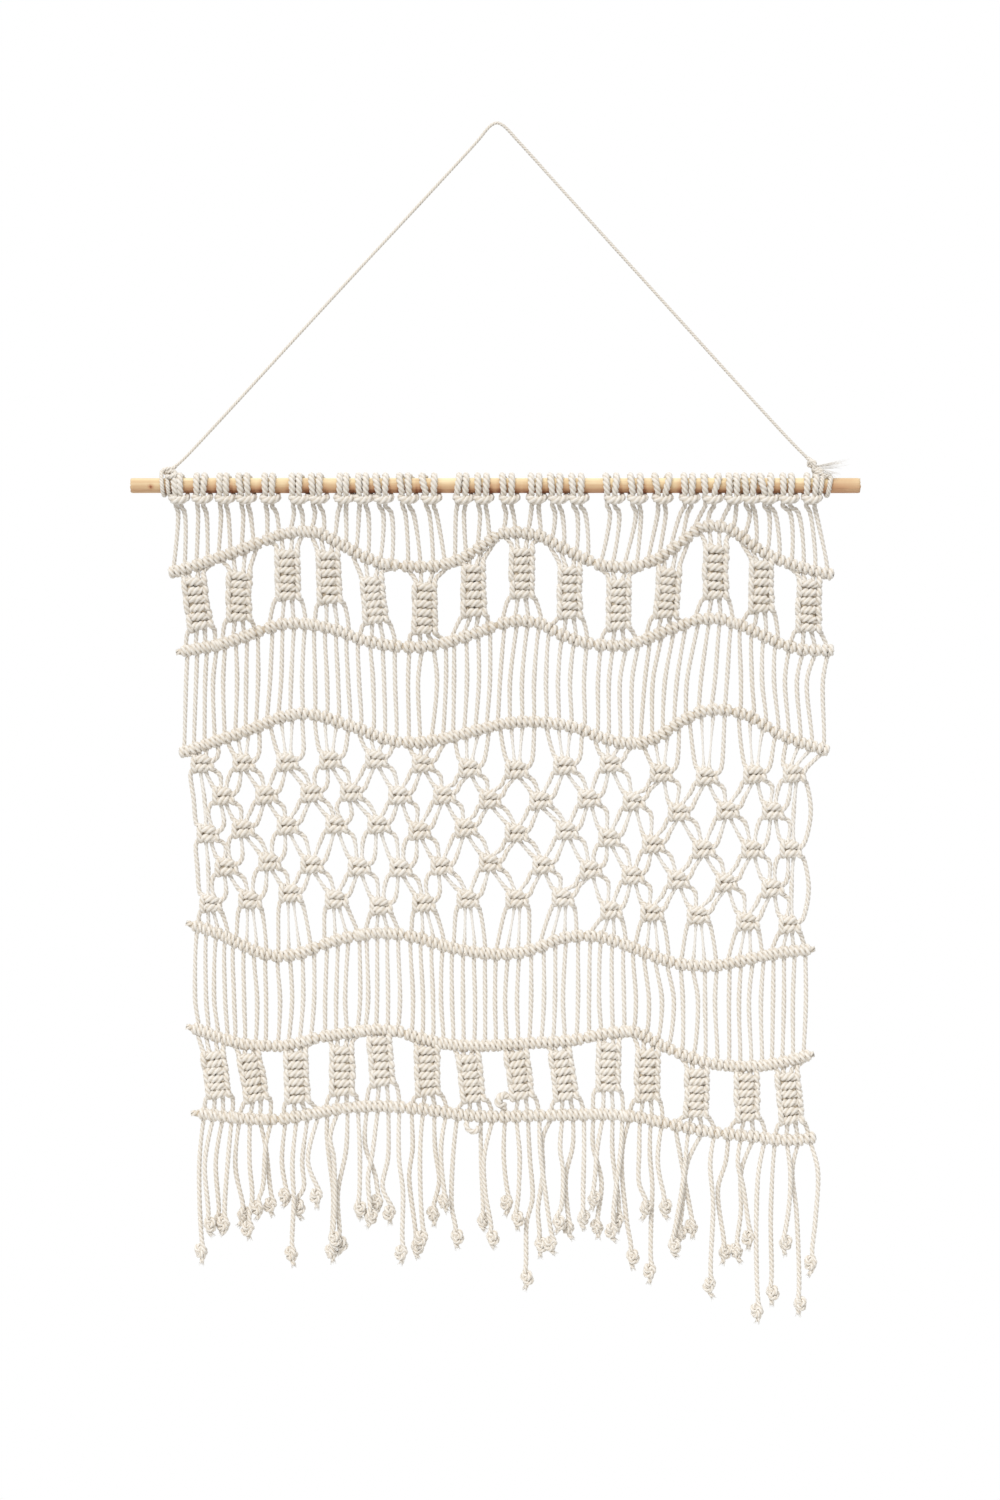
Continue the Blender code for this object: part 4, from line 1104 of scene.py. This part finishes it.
def bare_wood():
    """Wood with its grain along the rod: painted light makes it pale yellow above, it is tan, and painted
    shade makes it redder below and beside the cords.
    """
    material, nodes, links, shader = new_material("bare_wood")
    place = nodes.new("ShaderNodeTexCoord").outputs["Object"]
    stretch = nodes.new("ShaderNodeMapping")
    stretch.inputs["Scale"].default_value = GRAIN_STRETCH
    links.new(place, stretch.inputs["Vector"])
    grain = noise_node(nodes, links, stretch.outputs["Vector"], GRAIN).outputs["Fac"]
    patches = noise_node(nodes, links, place, PATCHES).outputs["Fac"]
    # The tone holds painted light on the top, painted shade at the foot and beside the heads, and the knot.
    shade = shares_added(nodes, links, WOOD_START, (
        (attribute_node(nodes, "tone").outputs["Fac"], 1.0),
        (grain, GRAIN_SHARE),
        (patches, PATCH_SHARE),
    ))
    ramp = nodes.new("ShaderNodeValToRGB")
    stops = ramp.color_ramp.elements
    stops[0].color = (*WOOD_TONES[0].colour, 1.0)
    stops[1].position = WOOD_TONES[-1].at
    stops[1].color = (*WOOD_TONES[-1].colour, 1.0)
    for at, colour in WOOD_TONES[1:-1]:
        stops.new(at).color = (*colour, 1.0)
    links.new(shade, ramp.inputs["Fac"])
    links.new(ramp.outputs["Color"], shader.inputs["Base Color"])
    add_bump(nodes, links, shader, grain, WOOD_BUMP)
    set_inputs(shader, WOOD_SURFACE)
    return material


# ---- The pieces ---------------------------------------------------------------------------------


def ride_on_frame(obj, slot, *nodes):
    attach(obj, "root")
    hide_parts(*nodes)
    return obj


def hang_column(index, places, material):
    """The four cords of a column: two ropes folded over the dowel."""
    chance = random.Random(COLUMN_SEED + index)
    mesh = RopeMesh()
    for head in range(2):
        halves = []
        tails = []
        for number in (4 * index + 2 * head, 4 * index + 2 * head + 1):
            route = cord_route(number, places, chance)
            fringe, tail = fringe_route(number, chance)
            halves.append(route + fringe)
            tails.append(tail)
        tint = chance.random()
        mesh.lay(halves[0][::-1] + halves[1], tint, turn=chance.uniform(0, 2 * math.pi))
        for tail in tails:
            if tail is not None:
                tuft(mesh, tail, ROPE_RADIUS, TAIL_TUFT, tint, chance)
    obj = mesh.finish(f"column_{index + 1:02d}", material)
    return ride_on_frame(obj, "cotton_cord", "knotted_panel", "fringe")


def holding_cords(material):
    """The cords inside the bars, seen at the bars' ends and between the hitches."""
    chance = random.Random(HOLDING_SEED)
    mesh = RopeMesh()
    for bar in BARS:
        xs = np.linspace(bar.line[0][0], bar.line[-1][0], HOLDING_POINTS)
        # Their fronts get painted shade, for the dark gaps between the hitches.
        route = [point(x, 0.0, bar_height(bar, x), HOLDING_SPREAD, HOLDING_SHADE) for x in xs]
        for end in (0, -1):
            route[end] = point(*route[end][:3], HOLDING_TIP_SPREAD)
        mesh.lay(route, chance.random(), step=HOLDING_STEP)
    obj = mesh.finish("holding_cords", material)
    return ride_on_frame(obj, "cotton_cord", "knotted_panel", "fringe")


HANGER_ROPE_RADIUS = 0.49 * HANGER_DIAMETER
HANGER_LAY = 0.0085
HANGER_STEP = 0.0014
HANGER_TINT = 0.3


def hanger(material):
    mesh = RopeMesh()
    line = mesh.lay(HANGER_ROUTE, HANGER_TINT, radius=HANGER_ROPE_RADIUS, lay=HANGER_LAY, step=HANGER_STEP)
    obj = mesh.finish("hanger_rope", material)
    ride_on_frame(obj, "hanger_cotton", "hanger_cord")
    return obj


# The ties' cords: the left one arches over to its turns and ends in a band across them. The right
# one is knotted before its turns, and both of its ends are frayed.
LEFT_TIE_RADIUS = 0.0019
RIGHT_TIE_RADIUS = 0.0021
LEFT_ARCH = (
    (-0.2716, -0.0020, -0.2878),
    (-0.2760, -0.0030, -0.2883),
    (-0.2800, -0.0035, -0.2902),
)
LEFT_END = (
    (-0.2755, 0.0035, -0.2915),
    (-0.2778, 0.0000, -0.2912),
    (-0.2740, -0.0030, -0.2906),
    (-0.2702, -0.0028, -0.2902),
    (-0.2685, -0.0046, -0.2926),
    (-0.2700, -0.0086, -0.2946),
    (-0.2735, -0.0096, -0.2952),
    (-0.2770, -0.0092, -0.2944),
)
RIGHT_KNOT = (
    (0.2628, -0.0018, -0.2816),
    (0.2640, -0.0022, -0.2844),
    (0.2624, 0.0010, -0.2856),
    (0.2610, 0.0020, -0.2840),
    (0.2622, -0.0016, -0.2822),
    (0.2650, -0.0045, -0.2826),
    (0.2656, -0.0045, -0.2856),
    (0.2654, -0.0035, -0.2885),
    (0.2690, -0.0045, -0.2915),
    (0.2738, -0.0050, -0.2936),
)
RIGHT_END = (
    (0.2660, 0.0035, -0.2910),
    (0.2648, 0.0012, -0.2882),
    (0.2664, -0.0005, -0.2870),
    (0.2702, -0.0010, -0.2865),
)
RIGHT_TAIL = (
    (0.2656, -0.0032, -0.2874),
    (0.2692, -0.0040, -0.2890),
    (0.2728, -0.0044, -0.2906),
)
# The turns round the dowel, from an angle in degrees that goes from its top to its front.
Coil = namedtuple("Coil", "x_start pitch turns start_angle")
COIL_POINTS = 10
COIL_GAP = 0.0001
# A tie starts inside the end of the hanger cord, leads to its turns and goes on to its own end.
Tie = namedtuple("Tie", "x_inside z_inside radius lead coil end")
LEFT_TIE = Tie(0.0006, 0.0005, LEFT_TIE_RADIUS, LEFT_ARCH, Coil(-0.2802, 0.0048, 1.72, 50.0), LEFT_END)
RIGHT_TIE = Tie(-0.0006, 0.0006, RIGHT_TIE_RADIUS, RIGHT_KNOT, Coil(0.2786, -0.0067, 1.72, 40.0), RIGHT_END)
TIE_STEP = 0.0012
TIE_TAPER = 0.003


def turns_round_dowel(radius, coil):
    """The points of a coil that goes down the dowel's front."""
    ring = DOWEL_RADIUS + radius + COIL_GAP
    route = []
    for part in np.linspace(0.0, coil.turns, int(COIL_POINTS * coil.turns) + 1):
        angle = math.radians(coil.start_angle + 360.0 * part)
        x = coil.x_start + coil.pitch * part
        route.append((x, -ring * math.sin(angle), DOWEL_HEIGHT + ring * math.cos(angle)))
    return route


def lay_tie(mesh, tie, hanger_end):
    x, _, z = hanger_end
    route = [(x + tie.x_inside, 0.0, z + tie.z_inside), *tie.lead]
    route += turns_round_dowel(tie.radius, tie.coil)
    route += tie.end
    mesh.lay(route, HANGER_TINT, radius=tie.radius, lay=HANGER_LAY, step=TIE_STEP, taper=TIE_TAPER)


def left_tie(material):
    mesh = RopeMesh()
    lay_tie(mesh, LEFT_TIE, HANGER_ROUTE[0])
    return ride_on_frame(mesh.finish("left_tie", material), "hanger_cotton", "hanger_tie_left")


def right_tie(material):
    chance = random.Random(TIE_SEED)
    mesh = RopeMesh()
    lay_tie(mesh, RIGHT_TIE, HANGER_ROUTE[-1])
    tuft(mesh, RIGHT_END[-2:], RIGHT_TIE_RADIUS, RIGHT_END_TUFT, 0.0, chance)
    mesh.lay(RIGHT_TAIL, HANGER_TINT, radius=RIGHT_TIE_RADIUS, lay=HANGER_LAY, step=TIE_STEP)
    tuft(mesh, RIGHT_TAIL[-2:], RIGHT_TIE_RADIUS, RIGHT_TAIL_TUFT, 0.0, chance)
    return ride_on_frame(mesh.finish("right_tie", material), "hanger_cotton", "hanger_tie_right")


def rod_tone(x, z, angle, heads, strength):
    """How dark the wood is: painted shade darkens it to its foot and in the corners beside the heads, and
    it is darkest in its knot.
    """
    stretch = MAIN_TONE
    if x < LEFT_END_START:
        stretch = LEFT_END_TONE
    elif x > RIGHT_END_START:
        stretch = RIGHT_END_TONE
    beside = min(abs(abs(x - head) - HEAD_REACH) for head in heads)
    # Painted shade in the corners beside the heads, on the rod's lower half.
    corner_shade = math.exp(-(beside / CORNER_SHADE_REACH) ** 2) * (0.5 - 0.5 * math.sin(angle)) * strength
    knot = 0.0
    if math.cos(angle) < 0:
        from_knot = math.hypot(x - WOOD_KNOT[0], z - WOOD_KNOT[1])
        knot = math.exp(-(from_knot / WOOD_KNOT_REACH) ** 2)
    # Painted light on the rod's top and painted shade towards its foot.
    height_tone = stretch.middle - stretch.change * math.sin(angle)
    return height_tone + CORNER_SHADE_SHARE * corner_shade + WOOD_KNOT_SHARE * knot


def rod(material):
    """The dowel, a little uneven along its length, with rough sawn ends."""
    chance = random.Random(ROD_SEED)
    low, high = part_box("dowel")
    points = []
    tones = []
    faces = []
    heads = [head for column in COLUMNS for head in (column.head_a, column.head_b)]
    long_phase, short_phase, flat_phase, _ = [chance.uniform(0, 2 * math.pi) for _ in range(4)]
    strength = [chance.random() for _ in range(ROD_RINGS)]
    for i in range(ROD_RINGS + 1):
        x = low.x + (high.x - low.x) * i / ROD_RINGS
        for k in range(ROD_SIDES):
            angle = 2 * math.pi * k / ROD_SIDES
            wave = math.sin(LONG_WAVE * x + long_phase) + math.sin(SHORT_WAVE * x + 2 * angle + short_phase)
            flat = math.sin(FLATS * angle + flat_phase)
            radius = DOWEL_RADIUS * (1.0 + WAVE_SHARE * wave + FLAT_SHARE * flat)
            end_wear = 0.0
            if i in (0, ROD_RINGS):
                end_wear = chance.uniform(-END_ROUGHNESS, END_ROUGHNESS)
                radius *= END_WIDTH
            z = DOWEL_HEIGHT + radius * math.sin(angle)
            points.append((x + end_wear, radius * math.cos(angle), z))
            tones.append(rod_tone(x, z, angle, heads, strength[i // CORNER_SHADE_RINGS]))
    for i in range(ROD_RINGS):
        for k in range(ROD_SIDES):
            a = i * ROD_SIDES + k
            b = i * ROD_SIDES + (k + 1) % ROD_SIDES
            faces.append((a, b, b + ROD_SIDES, a + ROD_SIDES))
    faces.append(tuple(reversed(range(ROD_SIDES))))
    faces.append(tuple(ROD_RINGS * ROD_SIDES + k for k in range(ROD_SIDES)))
    data = bpy.data.meshes.new("rod")
    data.from_pydata(points, [], faces)
    data.attributes.new("tone", "FLOAT", "POINT").data.foreach_set("value", tones)
    data.polygons.foreach_set("use_smooth", [len(face) == 4 for face in faces])
    data.materials.append(material)
    return ride_on_frame(new_object("rod", data), "bare_wood", "dowel")


# ---- Studio -------------------------------------------------------------------------------------

CAMERA_DISTANCE = 3.2
FRAME_MIDDLE = (0.0025, -0.5233)
FRAME_HEIGHT = 1.2552
SENSOR = 0.036
FLOOR_HEIGHT = -1.60
FLOOR_RADIUS = 1.6
FLOOR_SIDES = 96
LIGHT_BELOW = 0.20
LIGHT_ABOVE = 1.10
KEY_STRENGTH = 1.7
# The key light's width and its turn about X and Y, in degrees.
KEY_WIDTH = 30.0
KEY_TURN = (48.0, -26.0)


def camera():
    data = bpy.data.cameras.new("camera")
    data.sensor_fit = "VERTICAL"
    data.sensor_height = 1000 * SENSOR
    data.sensor_width = 1000 * SENSOR
    data.lens = 1000 * SENSOR * CAMERA_DISTANCE / FRAME_HEIGHT
    obj = new_object("camera", data)
    obj.location = (FRAME_MIDDLE[0], -CAMERA_DISTANCE, FRAME_MIDDLE[1])
    obj.rotation_euler = (0.5 * math.pi, 0.0, 0.0)
    bpy.context.scene.camera = obj


def lights():
    """A white backdrop, soft light that is weaker from below, and a broad key from the upper left."""
    world = bpy.data.worlds.new("studio")
    world.use_nodes = True
    nodes = world.node_tree.nodes
    links = world.node_tree.links
    place = nodes.new("ShaderNodeTexCoord")
    split = nodes.new("ShaderNodeSeparateXYZ")
    links.new(place.outputs["Generated"], split.inputs["Vector"])
    height = nodes.new("ShaderNodeMapRange")
    set_inputs(height, {"From Min": -1.0, "From Max": 1.0, "To Min": LIGHT_BELOW, "To Max": LIGHT_ABOVE})
    links.new(split.outputs["Z"], height.inputs["Value"])
    seen = nodes.new("ShaderNodeLightPath")
    strength = nodes.new("ShaderNodeMix")
    links.new(seen.outputs["Is Camera Ray"], strength.inputs["Factor"])
    links.new(height.outputs["Result"], strength.inputs["A"])
    strength.inputs["B"].default_value = 1.0
    background = nodes["Background"]
    background.inputs["Color"].default_value = (1.0, 1.0, 1.0, 1.0)
    links.new(strength.outputs["Result"], background.inputs["Strength"])
    bpy.context.scene.world = world
    data = bpy.data.lights.new("key", "SUN")
    data.energy = KEY_STRENGTH
    data.angle = math.radians(KEY_WIDTH)
    key = new_object("key", data)
    key.rotation_euler = (math.radians(KEY_TURN[0]), math.radians(KEY_TURN[1]), 0.0)
    bpy.context.scene.view_settings.view_transform = "Standard"


def floor():
    ring = []
    for k in range(FLOOR_SIDES):
        angle = 2 * math.pi * k / FLOOR_SIDES
        ring.append((FLOOR_RADIUS * math.cos(angle), FLOOR_RADIUS * math.sin(angle), FLOOR_HEIGHT))
    data = bpy.data.meshes.new("floor")
    data.from_pydata(ring, [], [tuple(range(FLOOR_SIDES))])
    material, _, _, shader = new_material("floor")
    set_inputs(shader, {"Base Color": (0.86, 0.86, 0.85, 1.0), "Roughness": 0.8})
    data.materials.append(material)
    obj = new_object("floor", data)


# ---- The scene ----------------------------------------------------------------------------------


def main():
    for obj in list(bpy.data.objects):
        bpy.data.objects.remove(obj, do_unlink=True)
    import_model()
    camera()
    lights()
    floor()
    cord_cotton = cotton("cotton_cord")
    hanger_cotton = cotton("hanger_cotton")
    hanger(hanger_cotton)
    left_tie(hanger_cotton)
    right_tie(hanger_cotton)
    rod(bare_wood())
    places = {bar.places: cord_places(bar.places) for bar in BARS}
    for index in range(len(COLUMNS)):
        hang_column(index, places, cord_cotton)
    holding_cords(cord_cotton)


main()
